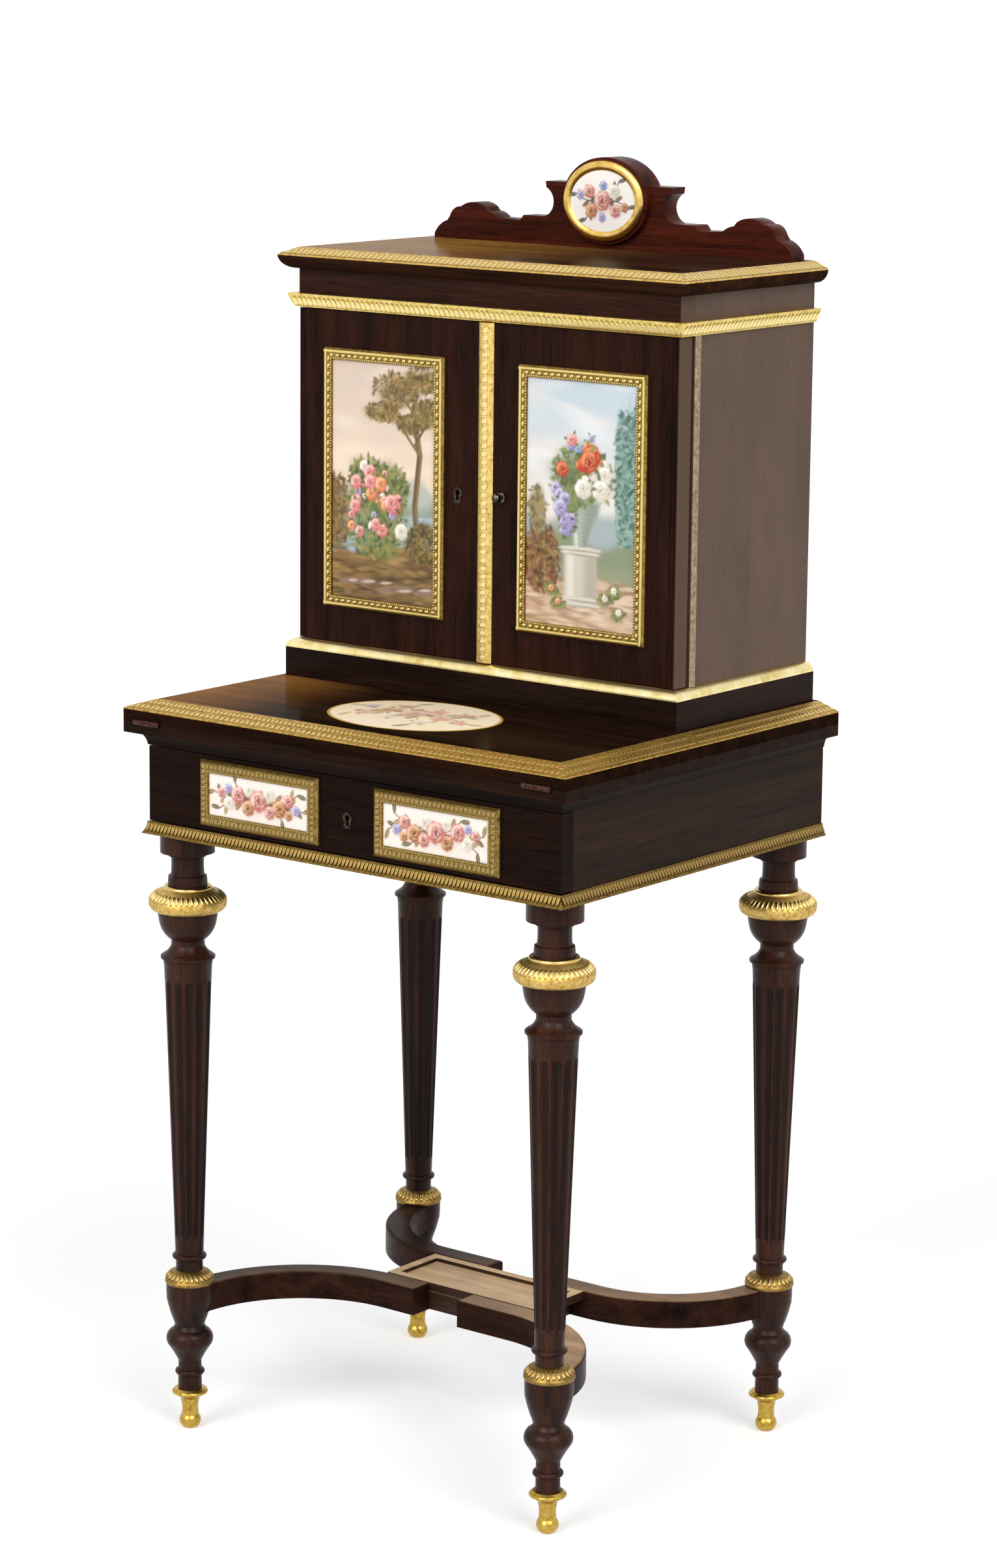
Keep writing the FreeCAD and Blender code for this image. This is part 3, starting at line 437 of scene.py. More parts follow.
# Drawer frames: two cast brass frames with mitred corners that hold the plaques, pinned to the drawer front.
# A row of small leaves runs round the flat and a row of fine pearls round the sight edge.
def framed_rows(lo, hi, y, inset, pitch, inward):
    """A row round a rectangle on the front, set in from its edge; it points inward or along the edge."""
    x0, x1, z0, z1 = lo.x + inset, hi.x - inset, lo.z + inset, hi.z - inset
    places = []
    corners = [(x0, z0), (x1, z0), (x1, z1), (x0, z1)]
    for (xa, za), (xb, zb) in zip(corners, corners[1:] + corners[:1]):
        way = (za - zb, 0, xb - xa) if inward else (xb - xa, 0, zb - za)
        places += line((xa, y, za), (xb, y, zb), pitch, way, (0, -1, 0))
    return places


frame_leaf = chased_gilt("frame_leaf_gilt", "#423114 #846a36 #b59c64")
finish(gilt("#483618 #7c6432 #a18850", rough=0.42), "drawer_plaque_frames")
lo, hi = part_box("drawer_plaque_frames")
frame_wide, frame_chamfer, frame_member = 149 * mm, 2.5 * mm, 12 * mm
small_leaf = leaf_stamp(width=4.4 * mm, length=5.6 * mm, height=0.6 * mm)
small_pearl = pearl_stamp(width=2 * mm, length=2 * mm, height=0.7 * mm)
leaf_inset, leaf_pitch = frame_chamfer + 0.8 * mm, 5.2 * mm
pearl_inset, pearl_pitch = frame_member - 1.4 * mm, 2.5 * mm
rows = []
for x0 in (lo.x, hi.x - frame_wide):
    a, b = Vector((x0, lo.y, lo.z)), Vector((x0 + frame_wide, hi.y, hi.z))
    rows.append((small_leaf, framed_rows(a, b, lo.y, leaf_inset, leaf_pitch, True)))
    rows.append((small_pearl, framed_rows(a, b, lo.y, pearl_inset, pearl_pitch, False)))
stamped("drawer_frame_chasing", "drawer", frame_leaf, *rows)


# Drawer plaques: two thin porcelain tiles, painted over the glaze with sprays of flowers and fired again.
# Each lies in the rebate of its frame.
def soft(start, end, value):
    share = np.clip((value - start) / (end - start), 0, 1)
    return share * share * (3 - 2 * share)


def lay(art, cover, colour):
    art["colour"] += cover[:, None] * (tint(colour) - art["colour"])


def dab(art, x, y, wide, tall, turn, colour, edge=0.4, weight=1.0):
    """One touch of the brush: a soft-edged oval of colour at a place on the tile, in millimetres."""
    c, s = cos(turn), sin(turn)
    dx, dy = art["x"] - x, art["y"] - y
    reach = np.hypot((c * dx + s * dy) / wide, (c * dy - s * dx) / tall)
    lay(art, weight * soft(1 + edge, 1 - edge, reach), colour)


def flower(art, rng, x, y, size, kind, greens=()):
    """A full bloom lit from the upper left, its petals folded in a spiral, with leaves showing behind it."""
    dark, plain, pale = kind.split()
    start = rng.uniform(0, tau)

    def petal(out, a, long, short, colour, edge, weight):
        dab(art, x + out * size * cos(a), y + out * size * sin(a), long * size, short * size,
            a + 1.57, colour, edge, weight)

    for k, green in enumerate(greens):
        a = start + 0.7 + k * tau / len(greens) + rng.uniform(-0.4, 0.4)
        petal(1.05, a, 0.2, 0.52, green, 0.35, 0.9)
    for k in range(7):
        petal(0.52, start + k * tau / 7, 0.42, rng.uniform(0.4, 0.54), plain, 0.25, 1.0)
    dab(art, x + 0.25 * size, y - 0.3 * size, 0.75 * size, 0.6 * size, 0.6, dark, 0.9, 0.45)
    for k in range(4):
        petal(0.68, 2.3 + (k - 1.5) * 0.7 + rng.uniform(-0.2, 0.2), 0.34, 0.18, pale, 0.6, 0.8)
    for k in range(8, 0, -1):
        a, out = start + k * 2.4, 0.06 + 0.06 * k
        petal(out, a, 0.16 + 0.03 * k, 0.11, dark, 0.7, 0.42)
        petal(out + 0.09, a + 0.25, 0.14 + 0.03 * k, 0.10, pale, 0.6, 0.55)
    dab(art, x, y, 0.13 * size, 0.11 * size, 0.4, dark, 0.7, 0.7)


def sprig(art, rng, start, end, bend, leaf_size, greens, stalk):
    """A curved stalk with leaves in turn on both sides."""
    (x0, y0), (x1, y1) = start, end
    mx, my = (x0 + x1) / 2 - bend * (y1 - y0), (y0 + y1) / 2 + bend * (x1 - x0)
    reach = dist(start, end)

    def along(t):
        return ((1 - t) ** 2 * x0 + 2 * t * (1 - t) * mx + t * t * x1,
                (1 - t) ** 2 * y0 + 2 * t * (1 - t) * my + t * t * y1)

    for t in np.linspace(0, 1, max(8, int(reach * 1.2))):
        dab(art, *along(t), 0.7, 0.55, 0, stalk, 0.5)
    for k, t in enumerate(np.linspace(0.22, 0.98, max(3, int(reach / leaf_size / 0.9)))):
        x, y = along(t)
        heading = atan2((1 - t) * (my - y0) + t * (y1 - my), (1 - t) * (mx - x0) + t * (x1 - mx))
        a = heading + (0.75 if k % 2 else -0.75) + rng.uniform(-0.2, 0.2)
        far = leaf_size * 0.55
        x, y = x + far * cos(a), y + far * sin(a)
        dab(art, x, y, far, far * 0.42, a, greens[k % len(greens)], 0.3)
        dab(art, x, y, far * 0.8, far * 0.08, a, "#e4e3b8", 0.8, 0.5)


def spray(art, rng, start, ends, leaf_size, leaves, stalk, flowers, greens=(), way=1):
    """Sprigs from one place, each to an end with its bend, under flowers; way -1 swaps left and right."""
    for x, y, bend in ends:
        sprig(art, rng, start, (x * way, y), bend * way, leaf_size, leaves, stalk)
    for x, y, size, kind in flowers:
        flower(art, rng, x * way, y, size, kind, greens)


def painting(x, y, wide, tall, paint):
    """The painted colours of a tile's face, point by point; the brush works in millimetres."""
    art = {"x": x / mm, "y": y / mm, "wide": wide / mm, "tall": tall / mm}
    art["colour"] = np.tile(tint("#f6f1ea"), (len(x), 1))
    paint(art)
    return art["colour"]


def glazed(name, level):
    material, tree = new_finish(name, Roughness=0.16, Specular_IOR_Level=level)
    paint = step(tree, "VertexColor", {}, layer_name="paint").outputs["Color"]
    strokes = figure(tree, [500.0] * 3, detail=3.0)
    shade = blend(tree, strokes, (0.3, 0.7), "#f2eee6 #ffffff")
    feed(tree, "Base Color", mixed(tree, 0.6, paint, shade, blend_type="MULTIPLY"))
    raised_by(tree, strokes, 0.1 * mm, 0.06)
    return material


def painted(name, body, node, points, faces, colours, coat):
    """The finished tile: its front points, which come first, carry the painting and the others stay white."""
    piece = smooth_piece(name, points, faces, coat, sharp=40)
    full = np.ones((len(points), 4), np.float32)
    full[:, :3] = tint("#f4f0e8")
    full[:len(colours), :3] = np.clip(colours, 0, 1)
    layer = piece.data.color_attributes.new("paint", "FLOAT_COLOR", "POINT")
    layer.data.foreach_set("color", full.reshape(-1))
    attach(piece, body)
    if node:
        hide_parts(node)


def flat_tile(name, body, node, lo, hi, pitch, paint):
    """A flat tile that faces the front, with a fine mesh that carries the painting."""
    wide, tall, middle = hi.x - lo.x, hi.z - lo.z, (lo + hi) / 2
    across, up = round(wide / pitch) + 1, round(tall / pitch) + 1
    u, v = np.meshgrid(np.linspace(lo.x, hi.x, across), np.linspace(lo.z, hi.z, up))
    faces, rim = grid_faces(up, across)
    count, edge = across * up, len(rim)
    front = np.stack([u.reshape(-1), np.full(count, lo.y), v.reshape(-1)], -1)
    back = front[rim].copy()
    back[:, 1] = hi.y
    for k in range(edge):
        n = (k + 1) % edge
        faces.append([rim[k], count + k, count + n, rim[n]])
    faces.append([count + k for k in range(edge - 1, -1, -1)])
    colours = painting(front[:, 0] - middle.x, front[:, 2] - middle.z, wide, tall, paint)
    painted(name, body, node, np.concatenate([front, back]), faces, colours, glaze)


PINK = "#a83a44 #e58a86 #f9d2c6"
CORAL = "#b04a22 #ea8f5a #f8cda0"
LILAC = "#6c5a94 #aaa0cc #dcd6ea"
BLUE = "#4a5c96 #8b9cca #ccd6ee"
WHITE = "#b3a894 #e6dfd0 #fffdf6"
ROSE = "#7c2824 #d8867c #fadacd"
TAWNY = "#5f2a12 #c27844 #f0cba2"
BROWNS = ("#6f4e32", "#9a7850", "#5f5a3a", "#b08f68")
BROWN_STALK = "#7d5a3c"


def drawer_spray(art, seed, way):
    dab(art, 0, -4, 58, 15, 0, "#f1dcd0", 0.8, 0.75)
    ends = ((-57, 4, 0.16), (-50, -13, -0.2), (57, -4, 0.16), (50, 13, -0.2), (-30, 15, 0.2), (30, -15, 0.2))
    flowers = ((-47, 3, 5.5, ROSE), (-37, -6, 7, WHITE), (-38, 8, 5, LILAC), (47, -3, 5.5, LILAC),
               (37, 5, 7, ROSE), (38, -9, 5, TAWNY), (-26, 3, 9, ROSE), (26, -4, 9, TAWNY),
               (-13, -8, 8, TAWNY), (13, 8, 8, WHITE), (-12, 9, 7, WHITE), (14, -9, 7, ROSE),
               (0, 0, 11, ROSE))
    spray(art, np.random.default_rng(seed), (0, -1), ends, 10, BROWNS, BROWN_STALK, flowers, way=way)


glaze = glazed("painted_glaze", 0.3)
lo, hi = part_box("drawer_plaques")
tile_wide, tile_pitch = 130 * mm, 0.8 * mm
for side, node, x0, seed, way in (("left", "drawer_plaques", lo.x, 5, 1),
                                  ("right", None, hi.x - tile_wide, 11, -1)):
    a, b = Vector((x0, lo.y, lo.z)), Vector((x0 + tile_wide, hi.y, hi.z))
    flat_tile("drawer_plaque_" + side, "drawer", node, a, b, tile_pitch,
              lambda art: drawer_spray(art, seed, way))


# Keyhole plates and locks: thin brass plates round the keyholes of the drawer and the left door, and a steel
# box lock with a sliding bolt behind each, screwed into the wood.
finish(gilt("#1a1410 #332a22 #5e5244", rough=0.5), "drawer_escutcheon", "left_door_escutcheon")
lock_steel, tree = new_finish("lock_steel", Metallic=1.0)
filed = figure(tree, [40.0, 900.0, 900.0], detail=3.0)
feed(tree, "Base Color", blend(tree, filed, (0.3, 0.7), "#6a6763 #b5b1aa"))
rough_between(tree, filed, 0.3, 0.5)
finish(lock_steel, "drawer_lock", "drawer_lock_bolt", "door_lock", "door_lock_bolt")


# Writing top: a fixed lower leaf, a folding flap over it and the fixed rear part that carries the cabinet.
# Solid boards, stained and polished, with a painted sheen of reflected light toward the left end of the top,
# in part also fading; the grain runs from side to side.
# painted reflection lightens the left end of the top, in part also fading
finish(wood("x", "#130a07 #2e1b11", gloss=0.14, level=0.0012, top="#704a22 #90602e",
            fade_and_sheen_band=(-0.09, -0.26, 0.0), pore_share=0.5), "flap_board", "rear_top")
finish(wood("x", "#130a07 #2e1b11", gloss=0.2, level=0.03), "lower_leaf")


# Edging of the writing top: chased brass strips let in round the top of the flap and of the rear part, gilt.
# Two rows of small low leaves cover the slope, and a plain fillet is left along the outer edge.
edging_leaf = chased_gilt("edging_leaf_gilt", "#5c4216 #c49a44 #f6da8c")
finish(gilt("#70521e #ae883a #d8b666", rough=0.4), "flap_brass_edge", "rear_top_brass")
lo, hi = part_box("flap_brass_edge")
foot, head = (-3.4 * mm, lo.z + 2.1 * mm), (-21 * mm, hi.z - 1.0 * mm)
slope = dist(foot, head)
leaf_share, tip_share, tip_start, tip_cut = 0.42, 0.38, 0.56, 0.86
tip_foot = tuple(f + tip_start * (h - f) for f, h in zip(foot, head))
edge_leaf = leaf_stamp(width=6.0 * mm, length=leaf_share * slope, height=0.7 * mm)
edge_tip = leaf_stamp(width=5.0 * mm, length=tip_share * slope, height=0.6 * mm)
ornament = ((edge_leaf, foot, 6.4 * mm, leaf_share), (edge_tip, tip_foot, 5.4 * mm, tip_cut))
rear_lo, rear_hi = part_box("rear_top_brass")
rear_clear = rear_lo.y + 3 * mm
flap_sets, rear_sets = [], []
for stamp, start, pitch, share in ornament:
    flap_sets.append((stamp, three_rows(hi.x, lo.y, hi.y, start, head, pitch, share=share)))
    places = three_rows(hi.x, rear_lo.y, rear_hi.y, start, head, pitch)
    rear_sets.append((stamp, [p for p in places if abs(p[2][0]) > 0 and p[0][1] > rear_clear]))
stamped("flap_edge_chasing", "flap", edging_leaf, *flap_sets)
stamped("rear_edge_chasing", "carcass", edging_leaf, *rear_sets)


# Flap hinges and leathers: brass butts let into the front corners, gone brown, with countersunk screws. Under
# the flap lie two pieces of green hide, one on each leaf, with a line of gold tooled round the edge.
finish(gilt("#1e110d #3c241c #64463a", rough=0.44), "leaf_hinge_plates", "flap_hinge_plates",
       "leaf_hinge_screws", "flap_hinge_screws")
hide, tree = new_finish("writing_hide", Specular_IOR_Level=0.35)
pebble = figure(tree, [900.0] * 3, detail=4.0)
worn = figure(tree, [14.0] * 3, detail=3.0)
feed(tree, "Base Color", blend(tree, worn, (0.3, 0.7), "#1d2a1a #3a4a2c"))
rough_between(tree, worn, 0.5, 0.36)
raised_by(tree, pebble, 0.2 * mm, 0.35)
finish(hide, "leaf_leather", "flap_leather")


def staff_stamp(width, length, height):
    """A half-round fillet of one length, closed at both ends and behind."""
    count = 9
    angle = np.linspace(pi, 0, count)
    u, v = np.meshgrid(np.cos(angle), np.array([-0.5, 0.5]))
    rise = np.sqrt(np.clip(1 - u ** 2, 0, 1))
    points, faces, level = closed_grid(u * width / 2, v * length, rise, height)
    faces[-1] = [0, count, 2 * count - 1, count - 1]
    faces += [list(range(count))[::-1], list(range(count, 2 * count))]
    return points, faces, 0.35 + 0.65 * level


def staffs_round(middle, half_across, half_up, ways, width, height):
    """Four half-round fillets round a rectangle, as stamps and places; ways are across it, up it and out."""
    across, up, out = (np.array(way, float) for way in ways)
    sets = []
    for run, aside, long, off in ((across, up, half_across, half_up), (up, across, half_up, half_across)):
        staff = staff_stamp(width, 2 * long + width, height)
        sets += [(staff, [(np.array(middle) + side * off * aside, run, out)]) for side in (-1, 1)]
    return sets


foil = 0.08 * mm
tooled_lines = ((9 * mm, 1.6 * mm), (13 * mm, 0.7 * mm))
for name, body, node, out in (("leaf_gold_line", "carcass", "leaf_leather", 1),
                              ("flap_gold_line", "flap", "flap_leather", -1)):
    lo, hi, middle, reach = measured(node)
    middle.z = hi.z if out > 0 else lo.z
    ways = ((1, 0, 0), (0, 1, 0), (0, 0, out))
    sets = []
    for inset, width in tooled_lines:
        sets += staffs_round(middle, reach.x - inset, reach.y - inset, ways, width, foil)
    stamped(name, body, ring_chased, *sets)


# Flap plaque: an oval of porcelain let into the middle of the flap, slightly domed, painted with flowers and
# rimmed with gold. Its glaze is rubbed dull by use.
def oval_tile(name, body, node, centre, wide, tall, deep, rise, ways, paint, coat):
    """A domed oval tile; wide and tall are half sizes, ways are its directions across, up and out."""
    steps, turns = 44, 150
    share = np.linspace(0, 1, steps + 1)[1:]
    lift = np.append(rise * (1 - share ** 2), -deep)
    share = np.append(share, 1.0)
    flat = np.concatenate([[[0, 0, rise]], rings(share * wide, share * tall, lift, turns)])
    faces = [[0, 1 + k, 1 + (k + 1) % turns] for k in range(turns)]
    faces += [face[:1] + face[:0:-1] for face in woven(steps + 1, turns, start=1)]
    faces.append([1 + steps * turns + k for k in range(turns - 1, -1, -1)])
    x, y, _ = flat[:-turns].T
    colours = painting(x, y, 2 * wide, 2 * tall, paint)
    painted(name, body, node, np.array(centre) + flat @ np.array(ways, float), faces, colours, coat)


def flap_posy(art):
    art["colour"][:] = tint("#ffefd8")
    dab(art, -24, 4, 66, 44, 0, "#fbe0ba", 0.9, 0.8)
    dab(art, 52, 0, 40, 50, 0, "#fbf0c8", 0.9, 0.7)
    ends = ((-70, 10, 0.2), (-56, -30, -0.2), (70, -8, 0.2), (56, 32, -0.2), (-28, 42, 0.2), (28, -44, 0.2))
    flowers = ((-60, 9, 8, LILAC), (60, -7, 8, PINK), (-44, -22, 9, PINK), (44, 24, 9, TAWNY),
               (-30, 26, 9, TAWNY), (30, -28, 9, WHITE), (-34, 2, 12, TAWNY), (34, -2, 12, PINK),
               (-12, -20, 11, WHITE), (12, 21, 11, PINK), (0, 0, 15, ROSE))
    spray(art, np.random.default_rng(21), (0, 0), ends, 16, BROWNS, BROWN_STALK, flowers, BROWNS[:3])
    lay(art, np.full(len(art["x"]), 0.3), "#fff0d4")
    rim = np.hypot(art["x"] / art["wide"] * 2, art["y"] / art["tall"] * 2)
    lay(art, soft(0.966, 0.976, rim), "#c79c3c")


lo, hi, middle, reach = measured("flap_plaque")
dome = 2 * mm
rim_z = hi.z - dome
oval_tile("flap_painted_oval", "flap", "flap_plaque", (middle.x, middle.y, rim_z), reach.x, reach.y,
          rim_z - lo.z, dome, ((1, 0, 0), (0, 1, 0), (0, 0, 1)), flap_posy, glazed("rubbed_glaze", 0.03))


# Plinth: a low box under the cabinet, glued to the rear top, with a plain rounded brass bead along its upper
# edge. The wood is polished black like the rest.
finish(wood("xy", "#120a07 #2b1a11", gloss=0.28, level=0.04), "plinth")
finish(gilt("#cdb068 #ead694 #fbf2c6", rough=0.3, speck=60.0, dent=0.03), "plinth_brass_bead")


# Cabinet case: two veneered sides, a floor and shelf, a thin back and a front rail under the top board.
# Polished outside with the grain upright, plain waxed wood inside; a narrow brass fillet lies behind each
# door edge.
def painted_lit_ends(material, node, depth):
    """The end faces of a board, left and right, get painted light: the paler colour of the lit case sides."""
    tree = material.node_tree
    aside = sums(tree, "ABSOLUTE", axes(tree)["X"])
    end = max(abs(corner.x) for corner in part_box(node))
    laid_over(material, spread(tree, aside, end - depth, end - 0.2 * depth), "#5c493d")


cornice_wood = wood("xy", "#1e0e09 #45271b", gloss=0.28, level=0.05)
# painted light on the rail's end faces, like the lit case sides
painted_lit_ends(cornice_wood, "cornice_rail", 1 * mm)
# the sides' pale grey-brown is painted light: the sheen of the lit side laid into their colour
finish(wood("z", "#56443a #665244", gloss=0.38, streak=14.0, pore_share=0.25), "cabinet_sides")
finish(cornice_wood, "cornice_rail")
# painted reflection on the cabinet top, lighter toward the left end, in part also fading
finish(wood("x", "#1e100b #40281b", gloss=0.12, level=0.0006, top="#785424 #986c36",
            fade_and_sheen_band=(0.12, -0.20, 0.0), pore_share=0.5), "cabinet_top")
finish(wood("x", "#4a2c1a #7c5634", gloss=0.42), "cabinet_shelves")
finish(wood("z", "#3c2618 #6a4a30", gloss=0.45), "cabinet_back")
finish(gilt("#5e5140 #8f7c62 #b5a284", rough=0.36), "side_fillets")


# Cornice brass: a leaf band round the front and sides above the doors, and a sloped edging strip let in round
# the top board. Both are cast, chased and gilt.
finish(gilt("#9c7e3c #d4b862 #f2de98", rough=0.34), "cornice_brass_band")
finish(gilt("#8a6a2c #c9a24e #e8ca7c", rough=0.34), "top_brass_edge")
cornice_leaf = chased_gilt("cornice_leaf_gilt", "#a08240 #dcc06c #fdf0b4", bright=0.26)
top_leaf = chased_gilt("top_leaf_gilt", "#8a6a2c #cfaa54 #f4da90", bright=0.26)
lo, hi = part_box("cornice_brass_band")
band_out, band_lip = 8.5 * mm, 2.5 * mm
foot, head = (band_lip + 0.6 * mm, lo.z + 1.6 * mm), (band_out, hi.z - 1.6 * mm)
rows = three_rows(hi.x - band_out, lo.y + band_out, hi.y, foot, head, pitch=6.2 * mm, sink=-0.6 * mm)
band_stamp = leaf_stamp(width=6.0 * mm, length=10.4 * mm, height=0.36 * mm)
stamped("cornice_band_leaves", "carcass", cornice_leaf, (band_stamp, rows))
lo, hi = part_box("top_brass_edge")
foot, head = (-1.6 * mm, lo.z + 1.8 * mm), (-14.2 * mm, hi.z - 0.6 * mm)
slope = dist(foot, head)
rows = three_rows(hi.x, lo.y, hi.y, foot, head, pitch=6.4 * mm, share=1.0)
top_stamp = leaf_stamp(width=6.2 * mm, length=slope, height=0.45 * mm)
stamped("top_edge_chasing", "carcass", top_leaf, (top_stamp, rows))


# Doors: two flush boards that turn on pins near their outer edges, veneered with the grain upright and
# polished. Brass pivot plates are let into floor and rail.
door_wood = wood("z", "#140906 #351b11", gloss=0.3, level=0.04, streak=40.0)
# painted light on the right door's outer edge, like the lit case sides
painted_lit_ends(door_wood, "right_door", 2.4 * mm)
finish(door_wood, "left_door", "right_door")
finish(gilt("#5a4218 #a98436 #d6b462", rough=0.35), "door_pivots")


# Door frames and meeting strip: cast brass frames round the plaques with a bright outer fillet and a row of
# long eggs inside it; a half-round strip with a chain of leaves covers the joint between the doors.
finish(gilt("#4b3814 #7e642c #aa8f50", rough=0.42), "left_door_frame", "right_door_frame")
finish(gilt("#8c7238 #ccac60 #ecd590", rough=0.4), "centre_strip")
front_ways = ((1, 0, 0), (0, 0, 1), (0, -1, 0))
door_egg = pearl_stamp(width=3.8 * mm, length=6.0 * mm, height=1.1 * mm)
door_member, egg_from_sight, egg_pitch = 11 * mm, 4.2 * mm, 7.6 * mm
pearl_from_sight, pearl_pitch = 1.3 * mm, 2.8 * mm
fillet_inset, fillet_wide, fillet_high, fillet_sink = 3.0 * mm, 3.2 * mm, 1.2 * mm, 0.3 * mm
door_leaf = chased_gilt("door_frame_leaf_gilt", "#3e2c0e #a38540 #dcc584", dull=0.44, bright=0.28)
door_fillet = chased_gilt("door_fillet_gilt", "#7c6230 #b4964e #dfc880", bright=0.3)
for side in ("left_door", "right_door"):
    lo, hi, middle, reach = measured(side + "_frame")
    middle.y = lo.y + fillet_sink
    fillets = staffs_round(middle, reach.x - fillet_inset, reach.z - fillet_inset, front_ways, fillet_wide,
                           fillet_high)
    stamped(side + "_frame_fillet", side, door_fillet, *fillets)
    eggs = framed_rows(lo, hi, lo.y, door_member - egg_from_sight, egg_pitch, False)
    pearls = framed_rows(lo, hi, lo.y, door_member - pearl_from_sight, pearl_pitch, False)
    stamped(side + "_frame_chasing", side, door_leaf, (door_egg, eggs), (small_pearl, pearls))
lo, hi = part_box("centre_strip")
x, y, end, pitch = (lo.x + hi.x) / 2, lo.y + 0.3 * mm, 2 * mm, 8 * mm
leaf_drop, dot_rise = np.array([0, 0, 3.6 * mm]), np.array([0, 0, 6.6 * mm])
chain = line((x, y, lo.z + end), (x, y, hi.z - end), pitch, (0, 0, 1), (0, -1, 0))
chain = [(spot - leaf_drop, up, out) for spot, up, out in chain]
dots = [(spot + dot_rise, up, out) for spot, up, out in chain[:-1]]
chain_leaf = leaf_stamp(width=7 * mm, length=5.6 * mm, height=0.5 * mm)
chain_dot = pearl_stamp(width=1.8 * mm, length=1.8 * mm, height=0.5 * mm)
stamped("strip_leaf_chain", "right_door", cornice_leaf, (chain_leaf, chain), (chain_dot, dots))


# Door plaques: two tall porcelain tiles painted with garden landscapes, a rose bush by the water on the left
# one and a stone urn of flowers on the right one. Each lies in the rebate of its frame.
def any_of(rng, choices):
    return choices[rng.integers(len(choices))]


def within(rng, x, y, wide, tall, share=1.0):
    """A chance place in an oval, or in that share of it."""
    a, r = rng.uniform(0, tau), share * sqrt(rng.uniform(0, 1))
    return x + wide * r * cos(a), y + tall * r * sin(a)


def wash(art, low, high, colour, edge=0.02, weight=1.0):
    """Fills between two heights, shares of the tile's own, which may vary from place to place."""
    share = art["y"] / art["tall"] + 0.5
    lay(art, weight * soft(low - edge, low + edge, share) * soft(high + edge, high - edge, share), colour)


def sky(art, rng, low, high, clouds):
    share = soft(0.3, 1.0, art["y"] / art["tall"] + 0.5)[:, None]
    art["colour"] = tint(low) * (1 - share) + tint(high) * share
    for _ in range(26):
        x, y = rng.uniform(-0.55, 0.55) * art["wide"], rng.uniform(-0.05, 0.5) * art["tall"]
        dab(art, x, y, rng.uniform(10, 30), rng.uniform(3, 9), rng.uniform(-0.3, 0.3), any_of(rng, clouds),
            0.9, 0.3)


def leafage(art, rng, x, y, wide, tall, count, size, colours):
    """A mass of foliage: soft patches of shade under small leaves, thinner towards its edge."""
    for _ in range(16):
        dab(art, *within(rng, x, y, wide, tall, 0.75), 0.42 * wide, 0.36 * tall, 0, any_of(rng, colours),
            0.9, 0.4)
    for _ in range(count):
        dab(art, *within(rng, x, y, wide, tall), size * rng.uniform(0.7, 1.5), size * rng.uniform(0.35, 0.6),
            rng.uniform(0, pi), any_of(rng, colours), 0.5, 0.8)


def ground(art, rng, top, count, colours):
    for _ in range(count):
        share = rng.uniform(0, 1)
        dab(art, rng.uniform(-0.52, 0.52) * art["wide"], (-0.5 + share * top) * art["tall"],
            rng.uniform(4, 16), rng.uniform(0.8, 2.6), rng.uniform(-0.2, 0.2), any_of(rng, colours),
            0.7, 0.55)


def trunk(art, points, thick, colours):
    for (x0, y0), (x1, y1) in zip(points, points[1:]):
        for t in np.linspace(0, 1, max(4, int(hypot(x1 - x0, y1 - y0)))):
            x, y = x0 + t * (x1 - x0), y0 + t * (y1 - y0)
            dab(art, x, y, thick, thick, 0, colours[0], 0.4)
            dab(art, x + 0.45 * thick, y, 0.4 * thick, thick, 0, colours[1], 0.6, 0.6)


def blooms(art, rng, count, places, sizes, kinds, greens):
    """Flowers heaped in ovals, each a middle and two half sizes; the smaller ones lie lower and behind."""
    for size in np.linspace(*sizes, count):
        x, y = within(rng, *any_of(rng, places))
        flower(art, rng, x, y, size * rng.uniform(0.85, 1.15), any_of(rng, kinds), greens)


